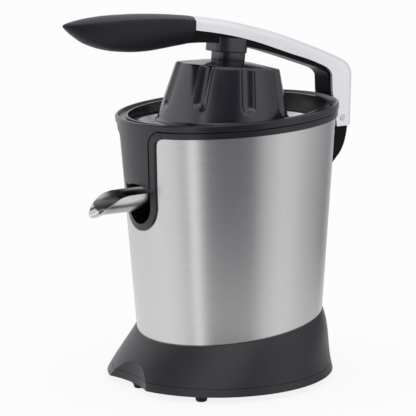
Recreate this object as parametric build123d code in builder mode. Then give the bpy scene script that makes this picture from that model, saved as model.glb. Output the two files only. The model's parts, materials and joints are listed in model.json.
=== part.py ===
"""Electric citrus juicer with a lever arm, built as separate parts in one frame.

All sizes are millimetres.  The floor is z = 0, the spout points to -Y and the hinge is at +Y.
The arm stands as it rests in the photograph, a few degrees above its lowest position.
"""
import os
from math import acos, atan2, cos, degrees, pi, radians, sin, sqrt, tan

from build123d import *

os.makedirs("parts", exist_ok=True)

# Overall reach, measured from the axis of the body
grip_reach = 148.5
arm_back = 118.5
body_y = (grip_reach - arm_back) / 2

# Clearances
fit_gap = 0.05
seam_gap = 0.3

# Rim of the body, slanted up towards the back
rim_radius = 90.0
rim_height = 219.0
rim_slope = 0.06
rim_band = 5.4
rim_rise = rim_band * sqrt(1 + rim_slope**2)
lower_rim_radius = rim_radius - 1.0

# Steel shell, a cone standing in the base
shell_foot = 72.64
shell_taper = 0.0693
shell_wall = 1.0
shell_top = rim_height - 2 * rim_rise
lip_height = 46.6
base_slope = 0.114
shell_seat = 5.0

# Opening in the front of the shell, its frame and the bib that hangs in it
opening_low = 127.0
opening_half_low = 22.5
opening_half_top = 25.8
frame_band = 5.6
frame_proud = 1.8
bib_proud = 2.2
bib_gap = 1.0
frame_depth = 2.2
flare = 7.0
bib_bottom = 163.0
bib_wall = 3.0
outlet_radius = 6.0
chute_half = 8.0
chute_depth = 5.4
chute_y = -80.7

# Bowl of the juice collector
bowl_radius = 79.6
bowl_foot_radius = 77.2
bowl_wall = 2.2
inner_lip_drop = 0.9
bowl_floor = 2.5
chimney_radius = 11.5
chimney_bore = 9.0
chimney_top = 184.0

# Strainer
strainer_radius = 78.2
strainer_edge = 207.0
strainer_floor = 192.0
strainer_sheet = 1.0
strainer_dish = 58.0
strainer_hole = 39.0
strainer_slots = 36

# Base
foot_height = 5.0
foot_radius = 4.4
foot_flare = 6.5
base_wall = 2.6
tray_floor = 4.0
tray_split = 11.0
base_rings = [(5.0, 0.0, 92.3, -9.0), (13.0, 0.02, 89.4, -7.9), (27.4, 0.06, 84.7, -4.0)]
lip_radius = 77.0
notch_curve = 92.5
notch_y = -92.5
notch_lean = 0.21
foot_spots = [(0, -86), (61.5, -66.5), (-61.5, -66.5), (50, 56), (-50, 56)]
screw_ring = 56.0
cord_bore = 3.6
cord_height = 20.0

# Chassis and gear case
chassis_radius = 65.0
chassis_wall = 3.0
deck_height = 113.0
deck = 3.0
case_top = 147.0
case_wall = 2.5
cover = 3.0
boss_top = 170.0

# Gear train: motor pinion, two-step idler, output gear on the spindle
pressure_angle = radians(25)
backlash = 0.3
small_module = 1.0
large_module = 1.25
pinion_teeth = 12
idler_teeth = 48
step_teeth = 12
output_teeth = 54
motor_y = 20.0
stage_one = (119.0, 127.0)
stage_two = (129.0, 145.0)
output_band = (132.0, 142.0)

# Spindle and its return spring
spindle_radius = 4.0
spindle_low = 118.0
spindle_top = 214.0
press_travel = 2.5
pad = 3.0
spring_height = 5.0
plunger_radius = 0.95

# Reamer
reamer_low = 188.0
reamer_tip = 228.0
reamer_radius = 35.0
reamer_ribs = 10
rib_width = 3.0
rib_height = 2.6

# Motor
stator_low = 52.0
stator_high = 88.0
stator_half = 28.0
rotor_radius = 16.0
air_gap = 0.6
shaft_radius = 3.0
coil_height = 9.0
fan_radius = 24.0

# Spout
spout_radius = 16.0
spout_wall = 1.0
spout_edge = 159.4
spout_root = -70.0
spout_tip = -126.4
spout_pivot = (-76.0, 155.0)
trunnion_radius = 2.0
pocket_half = 17.2
pocket_wall = 2.0
pocket_back = -58.0
pocket_top = 160.0

# Lever arm
pin_y = 106.6
pin_z = 203.0
pin_radius = 2.5
arm_half = 12.5
arm_wall = 2.7
arm_roof = 3.0
arm_tilt = radians(6.0)
bracket_half = 9.3
lug_radius = 8.0

# Press cup, in the tilted frame of the arm
cup_y = -3.2
cup_z = 208.9
cup_low_radius = 53.0
cup_high_radius = 41.6
cup_height = 43.8
roof_dome = 3.4
roof_flat = 18.0
cup_wall = 5.2
cup_edge = 209.2
flutes = 8
flute_offset = 0.75
flute_radius = 7.2
flute_inset = 3.2
flute_start = 14.5


# Working planes
def level(z):
    return Plane(origin=(0, body_y, z))


def side(x):
    return Plane(origin=(x, body_y, 0), x_dir=(0, 1, 0), z_dir=(1, 0, 0))


def front(y):
    return Plane(origin=(0, body_y + y, 0), x_dir=(1, 0, 0), z_dir=(0, -1, 0))


def slanted(height, slope, y=0.0):
    return Plane(origin=(0, body_y + y, height + slope * y), x_dir=(1, 0, 0), z_dir=(0, -slope, 1))


def cup_level(height):
    lean = Vector(0, sin(arm_tilt), cos(arm_tilt))
    return Plane(origin=Vector(0, body_y + cup_y, cup_z) + lean * height, x_dir=(1, 0, 0), z_dir=lean)


body_axis = Axis((0, body_y, 0), (0, 0, 1))
rim_normal = Vector(0, -rim_slope, 1).normalized()
rim_axis = Axis((0, body_y, rim_height), rim_normal)
rim_section = Plane(
    origin=(0, body_y, rim_height),
    x_dir=(1, 0, 0),
    z_dir=Vector(1, 0, 0).cross(rim_normal),
)
cup_axis = Axis(cup_level(0).origin, cup_level(0).z_dir)
cup_section = Plane(
    origin=cup_level(0).origin,
    x_dir=(1, 0, 0),
    z_dir=Vector(1, 0, 0).cross(cup_level(0).z_dir),
)
big = 300.0


def shell_radius(z):
    return shell_foot + shell_taper * z


# Outline of the front opening, round at the bottom and flared into the rim at the top
def opening_outline(inset, top):
    low = opening_low + inset
    half_low = opening_half_low - inset
    half_top = opening_half_top - inset
    round_z = low + half_low
    turn = flare + inset
    turn_z = top - turn
    bend = turn * (1 - sqrt(0.5))
    with BuildSketch() as outline:
        with BuildLine():
            Line((half_low, round_z), (half_top, turn_z))
            ThreePointArc(
                (half_top, turn_z),
                (half_top + bend, turn_z + turn * sqrt(0.5)),
                (half_top + turn, top),
            )
            Polyline(
                (half_top + turn, top),
                (half_top + turn, top + 60),
                (-half_top - turn, top + 60),
                (-half_top - turn, top),
            )
            ThreePointArc(
                (-half_top - turn, top),
                (-half_top - bend, turn_z + turn * sqrt(0.5)),
                (-half_top, turn_z),
            )
            Line((-half_top, turn_z), (-half_low, round_z))
            ThreePointArc((-half_low, round_z), (0, low), (half_low, round_z))
        make_face()
    return outline.sketch


# Half-round trough outline, open at the top
def trough_outline(half, low, top):
    with BuildSketch() as outline:
        with BuildLine():
            Polyline((half, low + half), (half, top), (-half, top), (-half, low + half))
            ThreePointArc((-half, low + half), (0, low), (half, low + half))
        make_face()
    return outline.sketch


# Involute gear outline with one tooth centred on the angle given
def gear_points(teeth, module, centre, turn):
    pitch_radius = module * teeth / 2
    base_radius = pitch_radius * cos(pressure_angle)
    tip_radius = pitch_radius + 0.8 * module
    root_radius = pitch_radius - 1.1 * module
    half_pitch = pi / (2 * teeth) - backlash / (4 * pitch_radius)
    start = max(base_radius, root_radius)

    def half_angle(radius):
        roll = acos(min(1.0, base_radius / radius))
        return half_pitch + (tan(pressure_angle) - pressure_angle) - (tan(roll) - roll)

    flank = [(root_radius, half_angle(start))]
    for step in range(4):
        radius = start + (tip_radius - start) * step / 3
        if radius > root_radius:
            flank.append((radius, half_angle(radius)))
    points = []
    for tooth in range(teeth):
        middle = turn + 2 * pi * tooth / teeth
        for radius, half in flank:
            points.append((radius, middle - half))
        for radius, half in reversed(flank):
            points.append((radius, middle + half))
    return [(centre[0] + r * cos(a), centre[1] + r * sin(a)) for r, a in points]


# Gear centres follow from the tooth counts
first_distance = small_module * (pinion_teeth + idler_teeth) / 2
second_distance = large_module * (step_teeth + output_teeth) / 2
idler_y = (second_distance**2 - first_distance**2 + motor_y**2) / (2 * motor_y)
idler_x = sqrt(second_distance**2 - idler_y**2)
motor_at = (0.0, motor_y)
idler_at = (idler_x, idler_y)
pinion_turn = atan2(idler_y - motor_y, idler_x)
step_turn = atan2(-idler_y, -idler_x)

# Side view of the arm: crown line of the roof and lower edge of the walls
crown = [(-36.0, 293.5), (-9.6, 289.9), (9.8, 285.6), (25.4, 281.5), (40.4, 277.4), (63.6, 269.4)]
crown += [(85.2, 261.4), (97.0, 256.7), (110.0, 250.8)]
back_corner = 237.7
roof_round = 5.5
wall_edge = [(96.2, 238.2), (92.8, 244.2), (85.8, 248.2), (73.6, 253.1), (53.5, 259.7), (33.9, 266.5)]
wall_edge += [(14.6, 272.6), (-4.5, 277.4), (-20.0, 280.4), (-36.0, 282.9)]
liner_edge = [(94.0, 238.2), (90.5, 242.6), (84.0, 245.6), (72.0, 249.6), (52.0, 256.4), (33.9, 262.0)]
liner_edge += [(14.0, 267.0), (-4.5, 270.2), (-21.0, 272.2), (-45.0, 272.8)]
hinge_foot = 196.0
opening_back = 215.0


# Tells the roof edges of the arm from the edges of its walls
def on_roof(y, z):
    return (-30 < y < 80 and z > 272) or (y > arm_back - 5 and z > opening_back)


# Feet
foot_peg = 2.0
with BuildPart() as feet:
    for x, y in foot_spots:
        with BuildSketch(Plane(origin=(x, body_y + y, 0), x_dir=(1, 0, 0), z_dir=(0, -1, 0))):
            with BuildLine():
                Polyline((0, 0), (foot_radius - 0.8, 0), (foot_radius, 0.6))
                ThreePointArc((foot_radius, 0.6), (foot_radius + 0.7, 3.2), (foot_flare, foot_height))
                Polyline(
                    (foot_flare, foot_height),
                    (foot_peg, foot_height),
                    (foot_peg, foot_height + tray_floor - 1),
                    (0, foot_height + tray_floor - 1),
                    (0, 0),
                )
            make_face()
        revolve(axis=Axis((x, body_y + y, 0), (0, 0, 1)))
feet.part.label = "feet"
export_step(feet.part, "parts/feet.step")

# Outer form of the base, a skirt that flares to the front
with BuildPart() as base_form:
    for height, slope, radius, centre in base_rings:
        with BuildSketch(slanted(height, slope, centre)):
            Circle(radius)
    with BuildSketch(slanted(lip_height, base_slope)):
        Circle(lip_radius)
    loft()

# Hollow of the base above the tray floor
with BuildPart() as base_hollow:
    for height, slope, radius, centre in base_rings:
        with BuildSketch(slanted(height, slope, centre)):
            Circle(radius - base_wall)
    with BuildSketch(slanted(lip_height + 1.0, base_slope)):
        Circle(lip_radius - base_wall)
    loft()
    with BuildSketch(level(foot_height - 1.0)):
        Circle(big)
    extrude(amount=tray_floor + 1.0, mode=Mode.SUBTRACT)

# Room for the steel shell in the lip
with BuildPart() as shell_room:
    with BuildSketch(front(0)):
        with BuildLine():
            Polyline(
                (0, 0),
                (shell_radius(0) + fit_gap, 0),
                (shell_radius(100) + fit_gap, 100),
                (0, 100),
                close=True,
            )
        make_face()
    revolve(axis=body_axis)
    with BuildSketch(slanted(lip_height - shell_seat, base_slope)):
        Circle(big)
    extrude(amount=-big, mode=Mode.SUBTRACT)

# Scooped notch at the front of the base: a leaning round wall trims the toe of the skirt
notch_heights = (foot_height - 10, lip_height)
with BuildPart() as notch_wall:
    for height in notch_heights:
        with BuildSketch(level(height)):
            with Locations((0, notch_y + notch_lean * (height - foot_height) - notch_curve)):
                Circle(notch_curve + base_wall)
    loft()
    add(base_form.part, mode=Mode.INTERSECT)
with BuildPart() as notch_room:
    for height in notch_heights:
        with BuildSketch(level(height)):
            with Locations((0, notch_y + notch_lean * (height - foot_height) - notch_curve)):
                Circle(notch_curve)
    loft()

# Bottom tray, a shallow pan that closes the base
screw_spots = [(screw_ring * cos(radians(a)), screw_ring * sin(radians(a))) for a in (45, 135, 225, 315)]
with BuildPart() as bottom_tray:
    add(base_form.part)
    add(base_hollow.part, mode=Mode.SUBTRACT)
    add(notch_wall.part)
    add(notch_room.part, mode=Mode.SUBTRACT)
    with BuildSketch(level(tray_split - seam_gap)):
        Circle(big)
    extrude(amount=big, mode=Mode.SUBTRACT)
    with BuildSketch(level(foot_height)):
        with Locations(*screw_spots):
            Circle(3.8)
    extrude(amount=2.4, mode=Mode.SUBTRACT)
    with BuildSketch(level(foot_height)):
        with Locations(*screw_spots):
            Circle(1.8)
        with Locations(*foot_spots):
            Circle(foot_peg + fit_gap)
        for row in range(-3, 4):
            with Locations((row * 8.0, motor_y)):
                SlotOverall(40, 3.6, rotation=90)
    extrude(amount=tray_floor, mode=Mode.SUBTRACT)
bottom_tray.part.label = "bottom_tray"
export_step(bottom_tray.part, "parts/bottom_tray.step")

# Base skirt with the seat for the steel shell
with BuildPart() as base_skirt:
    add(base_form.part)
    add(base_hollow.part, mode=Mode.SUBTRACT)
    add(shell_room.part, mode=Mode.SUBTRACT)
    add(notch_wall.part)
    add(notch_room.part, mode=Mode.SUBTRACT)
    with BuildSketch(level(tray_split)):
        Circle(big)
    extrude(amount=-big, mode=Mode.SUBTRACT)
    with BuildSketch(front(60)):
        with Locations((0, cord_height)):
            Circle(5.5 + fit_gap)
    extrude(amount=-60, mode=Mode.SUBTRACT)
base_skirt.part.label = "base_skirt"
export_step(base_skirt.part, "parts/base_skirt.step")

# Screws that hold the tray to the chassis
with BuildPart() as base_screws:
    with BuildSketch(level(foot_height + 0.2)):
        with Locations(*screw_spots):
            Circle(3.4)
    extrude(amount=2.2)
    with BuildSketch(level(foot_height + 0.2)):
        with Locations(*screw_spots):
            RegularPolygon(1.3, 6)
    extrude(amount=1.2, mode=Mode.SUBTRACT)
    with BuildSketch(level(foot_height + 2.4)):
        with Locations(*screw_spots):
            Circle(1.5)
    extrude(amount=16)
base_screws.part.label = "base_screws"
export_step(base_screws.part, "parts/base_screws.step")

# Inlet where the cord would enter
skirt_back = base_rings[1][3] + base_rings[1][2]
with BuildPart() as cord_inlet:
    with BuildSketch(front(skirt_back - 8)):
        with Locations((0, cord_height)):
            Circle(7.5)
    extrude(amount=3)
    with BuildSketch(front(skirt_back - 8)):
        with Locations((0, cord_height)):
            Circle(5.5)
    extrude(amount=-11)
    with BuildSketch(front(skirt_back - 20)):
        with Locations((0, cord_height)):
            Circle(cord_bore)
    extrude(amount=-60, mode=Mode.SUBTRACT)
cord_inlet.part.label = "cord_inlet"
export_step(cord_inlet.part, "parts/cord_inlet.step")

# Steel shell
opening_top = shell_top - rim_slope * shell_radius(shell_top)
shell_cut = opening_outline(0.0, opening_top)
bracket_screw_spots = [(-4.6, 158.0), (4.6, 158.0)]
with BuildPart() as steel_shell:
    with BuildSketch(front(0)):
        with BuildLine():
            Polyline(
                (shell_radius(0) - shell_wall, 0),
                (shell_radius(0), 0),
                (shell_radius(260), 260),
                (shell_radius(260) - shell_wall, 260),
                close=True,
            )
        make_face()
    revolve(axis=body_axis)
    with BuildSketch(slanted(shell_top, rim_slope)):
        Circle(big)
    extrude(amount=big, mode=Mode.SUBTRACT)
    with BuildSketch(slanted(lip_height - shell_seat, base_slope)):
        Circle(big)
    extrude(amount=-big, mode=Mode.SUBTRACT)
    with BuildSketch(front(-30)):
        add(shell_cut)
    extrude(amount=100, mode=Mode.SUBTRACT)
    with BuildSketch(front(60)):
        with Locations(*bracket_screw_spots):
            Circle(2.1)
    extrude(amount=-60, mode=Mode.SUBTRACT)
steel_shell.part.label = "steel_shell"
export_step(steel_shell.part, "parts/steel_shell.step")

# Frame plate that fills the edge of the front opening
frame_outline = opening_outline(seam_gap, opening_top + seam_gap)
groove_front = rim_height - rim_band - rim_slope * rim_radius
frame_hole = opening_outline(frame_band, groove_front + 0.5)
bib_outline = opening_outline(frame_band + bib_gap, groove_front + bib_gap)
with BuildPart() as frame_plate:
    with BuildSketch(front(0)):
        with BuildLine():
            Polyline(
                (shell_radius(100) - frame_depth, 100),
                (shell_radius(100) + frame_proud, 100),
                (shell_radius(206) + frame_proud, 206),
                (shell_radius(206) - frame_depth, 206),
                close=True,
            )
        make_face()
    revolve(axis=body_axis)
    with BuildSketch(front(-30)):
        add(frame_outline)
    extrude(amount=100, mode=Mode.INTERSECT)

# Pocket behind the opening, with the bearings of the spout
pocket_low = opening_low + frame_band - 0.2
pocket_skin = trough_outline(pocket_half + pocket_wall, pocket_low - pocket_wall, pocket_top)
pocket_hollow = trough_outline(pocket_half, pocket_low, pocket_top + 5)
with BuildPart() as spout_pocket:
    with BuildSketch(front(pocket_back)):
        add(pocket_skin)
    extrude(amount=40)
    with BuildSketch(front(pocket_back - pocket_wall)):
        add(pocket_hollow)
    extrude(amount=40, mode=Mode.SUBTRACT)
    with BuildSketch(front(0)):
        with BuildLine():
            Polyline(
                (0, 100),
                (shell_radius(100) - shell_wall, 100),
                (shell_radius(206) - shell_wall, 206),
                (0, 206),
                close=True,
            )
        make_face()
    revolve(axis=body_axis, mode=Mode.INTERSECT)
    with BuildSketch(side(-40)):
        with Locations(spout_pivot):
            Circle(trunnion_radius + fit_gap)
    extrude(amount=80, mode=Mode.SUBTRACT)

# Lower rim, frame and pocket in one moulding
plug_gap = shell_wall + seam_gap
with BuildPart() as rim_frame:
    with BuildSketch(rim_section):
        with BuildLine():
            Polyline(
                (83.0, -rim_band),
                (lower_rim_radius - 0.8, -rim_band),
                (lower_rim_radius, -rim_band - 0.8),
                (lower_rim_radius - 0.3, -2 * rim_band),
                (83.0, -2 * rim_band),
                close=True,
            )
        make_face()
    revolve(axis=rim_axis)
    with BuildSketch(front(0)):
        with BuildLine():
            Polyline(
                (shell_radius(190) - plug_gap - 1.8, 190),
                (shell_radius(190) - plug_gap, 190),
                (shell_radius(230) - plug_gap, 230),
                (shell_radius(230) - plug_gap - 1.8, 230),
                close=True,
            )
        make_face()
    revolve(axis=body_axis)
    with BuildSketch(slanted(rim_height - rim_rise, rim_slope)):
        Circle(big)
    extrude(amount=big, mode=Mode.SUBTRACT)
    add(frame_plate.part)
    with BuildSketch(front(-30)):
        add(frame_hole)
    extrude(amount=100, mode=Mode.SUBTRACT)
    add(spout_pocket.part)
rim_frame.part.label = "rim_frame"
export_step(rim_frame.part, "parts/rim_frame.step")

# Bib that hangs from the upper rim into the opening
with BuildPart() as bib:
    with BuildSketch(front(0)):
        with BuildLine():
            Polyline(
                (shell_radius(150) + bib_proud - bib_wall, 150),
                (shell_radius(150) + bib_proud, 150),
                (rim_radius - 0.6, groove_front + 3),
                (rim_radius - 0.6 - bib_wall, groove_front + 3),
                close=True,
            )
        make_face()
    revolve(axis=body_axis)
    with BuildSketch(front(-30)):
        add(bib_outline)
    extrude(amount=100, mode=Mode.INTERSECT)
    with BuildSketch(level(bib_bottom)):
        Circle(big)
    extrude(amount=-big, mode=Mode.SUBTRACT)

# Juice collector: upper rim, bowl with chimney, strainer ledge and outlet
bowl_top = rim_height + 10
with BuildPart() as juice_collector:
    with BuildSketch(front(0)):
        with BuildLine():
            Polyline(
                (chimney_bore, bib_bottom),
                (bowl_foot_radius, bib_bottom),
                (bowl_foot_radius + bowl_wall, bib_bottom + 3),
                (bowl_radius + bowl_wall, bowl_top),
                (bowl_radius, bowl_top),
                (bowl_radius, strainer_edge),
                (strainer_radius - 3, strainer_edge),
                (bowl_radius - 1, strainer_edge - 4),
                (bowl_foot_radius, bib_bottom + bowl_floor),
                (chimney_radius, bib_bottom + bowl_floor),
                (chimney_radius, chimney_top),
                (chimney_bore, chimney_top),
                close=True,
            )
        make_face()
    revolve(axis=body_axis)
    with BuildSketch(slanted(rim_height - inner_lip_drop, rim_slope)):
        Circle(big)
    extrude(amount=big, mode=Mode.SUBTRACT)
    with BuildSketch(rim_section):
        with BuildLine():
            Polyline(
                (bowl_radius + 1.0, -rim_band),
                (rim_radius - 0.8, -rim_band),
                (rim_radius, -rim_band + 0.8),
                (rim_radius, -0.9),
                (rim_radius - 0.9, 0),
                (rim_radius - 2.4, 0),
                (rim_radius - 3.4, -2.2),
                (bowl_radius + 1.0, -2.6),
                close=True,
            )
        make_face()
    revolve(axis=rim_axis)
    with BuildSketch(level(bib_bottom)):
        with Locations((0, chute_y)):
            Rectangle(2 * chute_half + 6, 9.4)
    extrude(amount=12)
    add(bib.part)
    with BuildSketch(front(-70)):
        with Locations((0, bib_bottom + bowl_floor)):
            Circle(outlet_radius)
        with Locations((0, bib_bottom + bowl_floor - 20)):
            Rectangle(60, 40, mode=Mode.SUBTRACT)
    extrude(amount=-chute_y - 70, mode=Mode.SUBTRACT)
    with BuildSketch(level(bib_bottom)):
        with Locations((0, chute_y)):
            Rectangle(2 * chute_half, chute_depth)
    extrude(amount=bowl_floor + outlet_radius, mode=Mode.SUBTRACT)
    with BuildSketch(front(-70)):
        with Locations((0, bib_bottom)):
            Ellipse(10, 1.6)
    extrude(amount=40, mode=Mode.SUBTRACT)
juice_collector.part.label = "juice_collector"
export_step(juice_collector.part, "parts/juice_collector.step")

# Lip seal in the chimney
with BuildPart() as spindle_seal:
    with BuildSketch(level(chimney_top - 9)):
        Circle(chimney_bore - fit_gap)
        Circle(spindle_radius + fit_gap, mode=Mode.SUBTRACT)
    extrude(amount=4)
    with BuildSketch(level(chimney_top - 5)):
        Circle(spindle_radius + 1.2)
        Circle(spindle_radius + fit_gap, mode=Mode.SUBTRACT)
    extrude(amount=2)
spindle_seal.part.label = "spindle_seal"
export_step(spindle_seal.part, "parts/spindle_seal.step")

# Strainer dish with radial slots
slot_middle = (strainer_dish + strainer_hole) / 2
with BuildPart() as strainer:
    with BuildSketch(front(0)):
        with BuildLine():
            Polyline(
                (strainer_hole, strainer_floor + 3),
                (strainer_hole, strainer_floor),
                (strainer_dish, strainer_floor),
                (strainer_radius - 5, strainer_edge),
                (strainer_radius, strainer_edge),
                (strainer_radius, strainer_edge + strainer_sheet),
                (strainer_radius - 5.4, strainer_edge + strainer_sheet),
                (strainer_dish - 0.4, strainer_floor + strainer_sheet),
                (strainer_hole + strainer_sheet, strainer_floor + strainer_sheet),
                (strainer_hole + strainer_sheet, strainer_floor + 3),
                close=True,
            )
        make_face()
    revolve(axis=body_axis)
    with BuildSketch(level(strainer_floor - 1)):
        with PolarLocations(slot_middle, strainer_slots):
            SlotOverall(strainer_dish - strainer_hole - 5, 2.0)
    extrude(amount=4, mode=Mode.SUBTRACT)
strainer.part.label = "strainer"
export_step(strainer.part, "parts/strainer.step")

# Chassis, a drum that stands on the tray and carries the gear case
chassis_low = foot_height + tray_floor
with BuildPart() as chassis:
    with BuildSketch(level(chassis_low)):
        Circle(chassis_radius)
        Circle(chassis_radius - chassis_wall, mode=Mode.SUBTRACT)
    extrude(amount=deck_height - chassis_low)
    with BuildSketch(level(chassis_low)):
        with Locations(*screw_spots):
            Circle(4.5)
        for x, y in screw_spots:
            with Locations((x * 1.07, y * 1.07)):
                Rectangle(6, 8, rotation=degrees(atan2(y, x)))
    extrude(amount=24)
    with BuildSketch(level(chassis_low)):
        with Locations(*screw_spots):
            Circle(1.5)
    extrude(amount=18, mode=Mode.SUBTRACT)
    for turn in range(4):
        window = Plane(
            origin=(0, body_y, 0),
            x_dir=(cos(turn * pi / 2), sin(turn * pi / 2), 0),
            z_dir=(sin(turn * pi / 2), -cos(turn * pi / 2), 0),
        )
        with BuildSketch(window):
            with Locations((0, 70)):
                RectangleRounded(50, 50, 8)
        extrude(amount=big, mode=Mode.SUBTRACT)
chassis.part.label = "chassis"
export_step(chassis.part, "parts/chassis.step")


# Outline of the gear case round the output gear and the idler
def case_outline(grow):
    output_tip = large_module * (output_teeth / 2 + 0.8)
    idler_tip = small_module * (idler_teeth / 2 + 0.8)
    with BuildSketch() as outline:
        with Locations((0, 0)):
            Circle(output_tip + 2.5 + grow)
        with Locations(idler_at):
            Circle(idler_tip + 2.5 + grow)
        make_hull()
    return outline.sketch


# Gear case with the deck that rests on the chassis
case_skin = case_outline(case_wall)
case_hollow = case_outline(0.0)
sleeve_low = spindle_low - pad - spring_height - 4.0
with BuildPart() as gear_case:
    with BuildSketch(level(deck_height)):
        Circle(chassis_radius)
    extrude(amount=deck)
    with BuildSketch(level(deck_height + deck)):
        add(case_skin)
        add(case_hollow, mode=Mode.SUBTRACT)
    extrude(amount=case_top - deck_height - deck)
    with BuildSketch(level(sleeve_low)):
        Circle(spindle_radius + 3)
    extrude(amount=output_band[0] - press_travel - 0.5 - sleeve_low)
    with BuildSketch(level(sleeve_low + 4)):
        Circle(spindle_radius + fit_gap)
    extrude(amount=big, mode=Mode.SUBTRACT)
    with BuildSketch(level(sleeve_low - 1)):
        Circle(plunger_radius + fit_gap)
    extrude(amount=10, mode=Mode.SUBTRACT)
    with BuildSketch(level(deck_height - 1)):
        with Locations(motor_at):
            Circle(6)
    extrude(amount=10, mode=Mode.SUBTRACT)
    with BuildSketch(level(deck_height + deck - 2)):
        with Locations(idler_at):
            Circle(2.5)
    extrude(amount=10, mode=Mode.SUBTRACT)
gear_case.part.label = "gear_case"
export_step(gear_case.part, "parts/gear_case.step")

# Cover of the gear case with the neck that guides the spindle
with BuildPart() as gear_cover:
    with BuildSketch(level(case_top)):
        add(case_skin)
    extrude(amount=cover)
    with BuildSketch(level(case_top)):
        Circle(chimney_bore - 1)
    extrude(amount=boss_top - case_top)
    with BuildSketch(level(case_top)):
        Circle(spindle_radius + 2)
    extrude(amount=boss_top - case_top, mode=Mode.SUBTRACT)
    with BuildSketch(level(case_top)):
        with Locations(idler_at):
            Circle(2.5)
    extrude(amount=2, mode=Mode.SUBTRACT)
gear_cover.part.label = "gear_cover"
export_step(gear_cover.part, "parts/gear_cover.step")

# Bush in the neck of the cover
with BuildPart() as spindle_bush:
    with BuildSketch(level(case_top)):
        Circle(spindle_radius + 2)
        Circle(spindle_radius + fit_gap, mode=Mode.SUBTRACT)
    extrude(amount=boss_top - case_top)
spindle_bush.part.label = "spindle_bush"
export_step(spindle_bush.part, "parts/spindle_bush.step")

# Fixed axle of the idler
with BuildPart() as idler_axle:
    with BuildSketch(level(deck_height + deck - 2)):
        with Locations(idler_at):
            Circle(2.5)
    extrude(amount=case_top + 2 - deck_height - deck + 2)
idler_axle.part.label = "idler_axle"
export_step(idler_axle.part, "parts/idler_axle.step")

# Two-step idler gear
with BuildPart() as idler_gear:
    with BuildSketch(level(stage_one[0])):
        with BuildLine():
            turn = pinion_turn + pi + pi / idler_teeth
            Polyline(*gear_points(idler_teeth, small_module, idler_at, turn), close=True)
        make_face()
    extrude(amount=stage_one[1] - stage_one[0])
    with BuildSketch(level(stage_one[1])):
        with Locations(idler_at):
            Circle(large_module * (step_teeth / 2 - 1.1))
    extrude(amount=stage_two[0] - stage_one[1])
    with BuildSketch(level(stage_two[0])):
        with BuildLine():
            Polyline(*gear_points(step_teeth, large_module, idler_at, step_turn), close=True)
        make_face()
    extrude(amount=stage_two[1] - stage_two[0])
    with BuildSketch(level(stage_one[0])):
        with Locations(idler_at):
            Circle(2.5 + fit_gap)
    extrude(amount=big, mode=Mode.SUBTRACT)
idler_gear.part.label = "idler_gear"
export_step(idler_gear.part, "parts/idler_gear.step")

# Output gear on the spindle
with BuildPart() as output_gear:
    with BuildSketch(level(output_band[0])):
        with BuildLine():
            turn = step_turn - pi + pi / output_teeth
            Polyline(*gear_points(output_teeth, large_module, (0, 0), turn), close=True)
        make_face()
        Circle(spindle_radius, mode=Mode.SUBTRACT)
    extrude(amount=output_band[1] - output_band[0])
    with BuildSketch(level(output_band[1] - 3)):
        Circle(28)
        Circle(10, mode=Mode.SUBTRACT)
    extrude(amount=3, mode=Mode.SUBTRACT)
output_gear.part.label = "output_gear"
export_step(output_gear.part, "parts/output_gear.step")

# Spindle with two driving flats at the top
flat_half = spindle_radius - 0.9
with BuildPart() as spindle:
    with BuildSketch(level(spindle_low)):
        Circle(spindle_radius)
    extrude(amount=spindle_top - spindle_low)
    with BuildSketch(level(reamer_low + 4)):
        with Locations((0, flat_half + 5), (0, -flat_half - 5)):
            Rectangle(20, 10)
    extrude(amount=spindle_top - reamer_low, mode=Mode.SUBTRACT)
    chamfer(spindle.edges().group_by(Axis.Z)[-1], 0.6)
spindle.part.label = "spindle"
export_step(spindle.part, "parts/spindle.step")

# Thrust pad under the spindle and the plunger that works the switch
with BuildPart() as thrust_pad:
    with BuildSketch(level(spindle_low - pad)):
        Circle(spindle_radius - fit_gap)
    extrude(amount=pad)
thrust_pad.part.label = "thrust_pad"
export_step(thrust_pad.part, "parts/thrust_pad.step")

plunger_top = spindle_low - pad
switch_top = sleeve_low
with BuildPart() as switch_plunger:
    with BuildSketch(level(switch_top - 2.0)):
        Circle(plunger_radius)
    extrude(amount=plunger_top - switch_top + 2.0)
switch_plunger.part.label = "switch_plunger"
export_step(switch_plunger.part, "parts/switch_plunger.step")

# Return spring, a stack of disc springs
disc_pitch = spring_height / 4
with BuildPart() as return_spring:
    for disc in range(4):
        low = plunger_top - spring_height + disc * disc_pitch
        inner = low if disc % 2 else low + disc_pitch - 0.5
        outer = low + disc_pitch - 0.5 if disc % 2 else low
        with BuildSketch(front(0)):
            with BuildLine():
                Polyline((1.4, inner), (3.6, outer), (3.6, outer + 0.5), (1.4, inner + 0.5), close=True)
            make_face()
        revolve(axis=body_axis)
return_spring.part.label = "return_spring"
export_step(return_spring.part, "parts/return_spring.step")

# Switch under the sleeve
with BuildPart() as start_switch:
    with BuildSketch(level(switch_top)):
        RectangleRounded(20, 9, 1)
    extrude(amount=-7)
    with BuildSketch(level(switch_top)):
        Circle(plunger_radius + 0.3)
    extrude(amount=-5.5, mode=Mode.SUBTRACT)
start_switch.part.label = "start_switch"
export_step(start_switch.part, "parts/start_switch.step")

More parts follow.
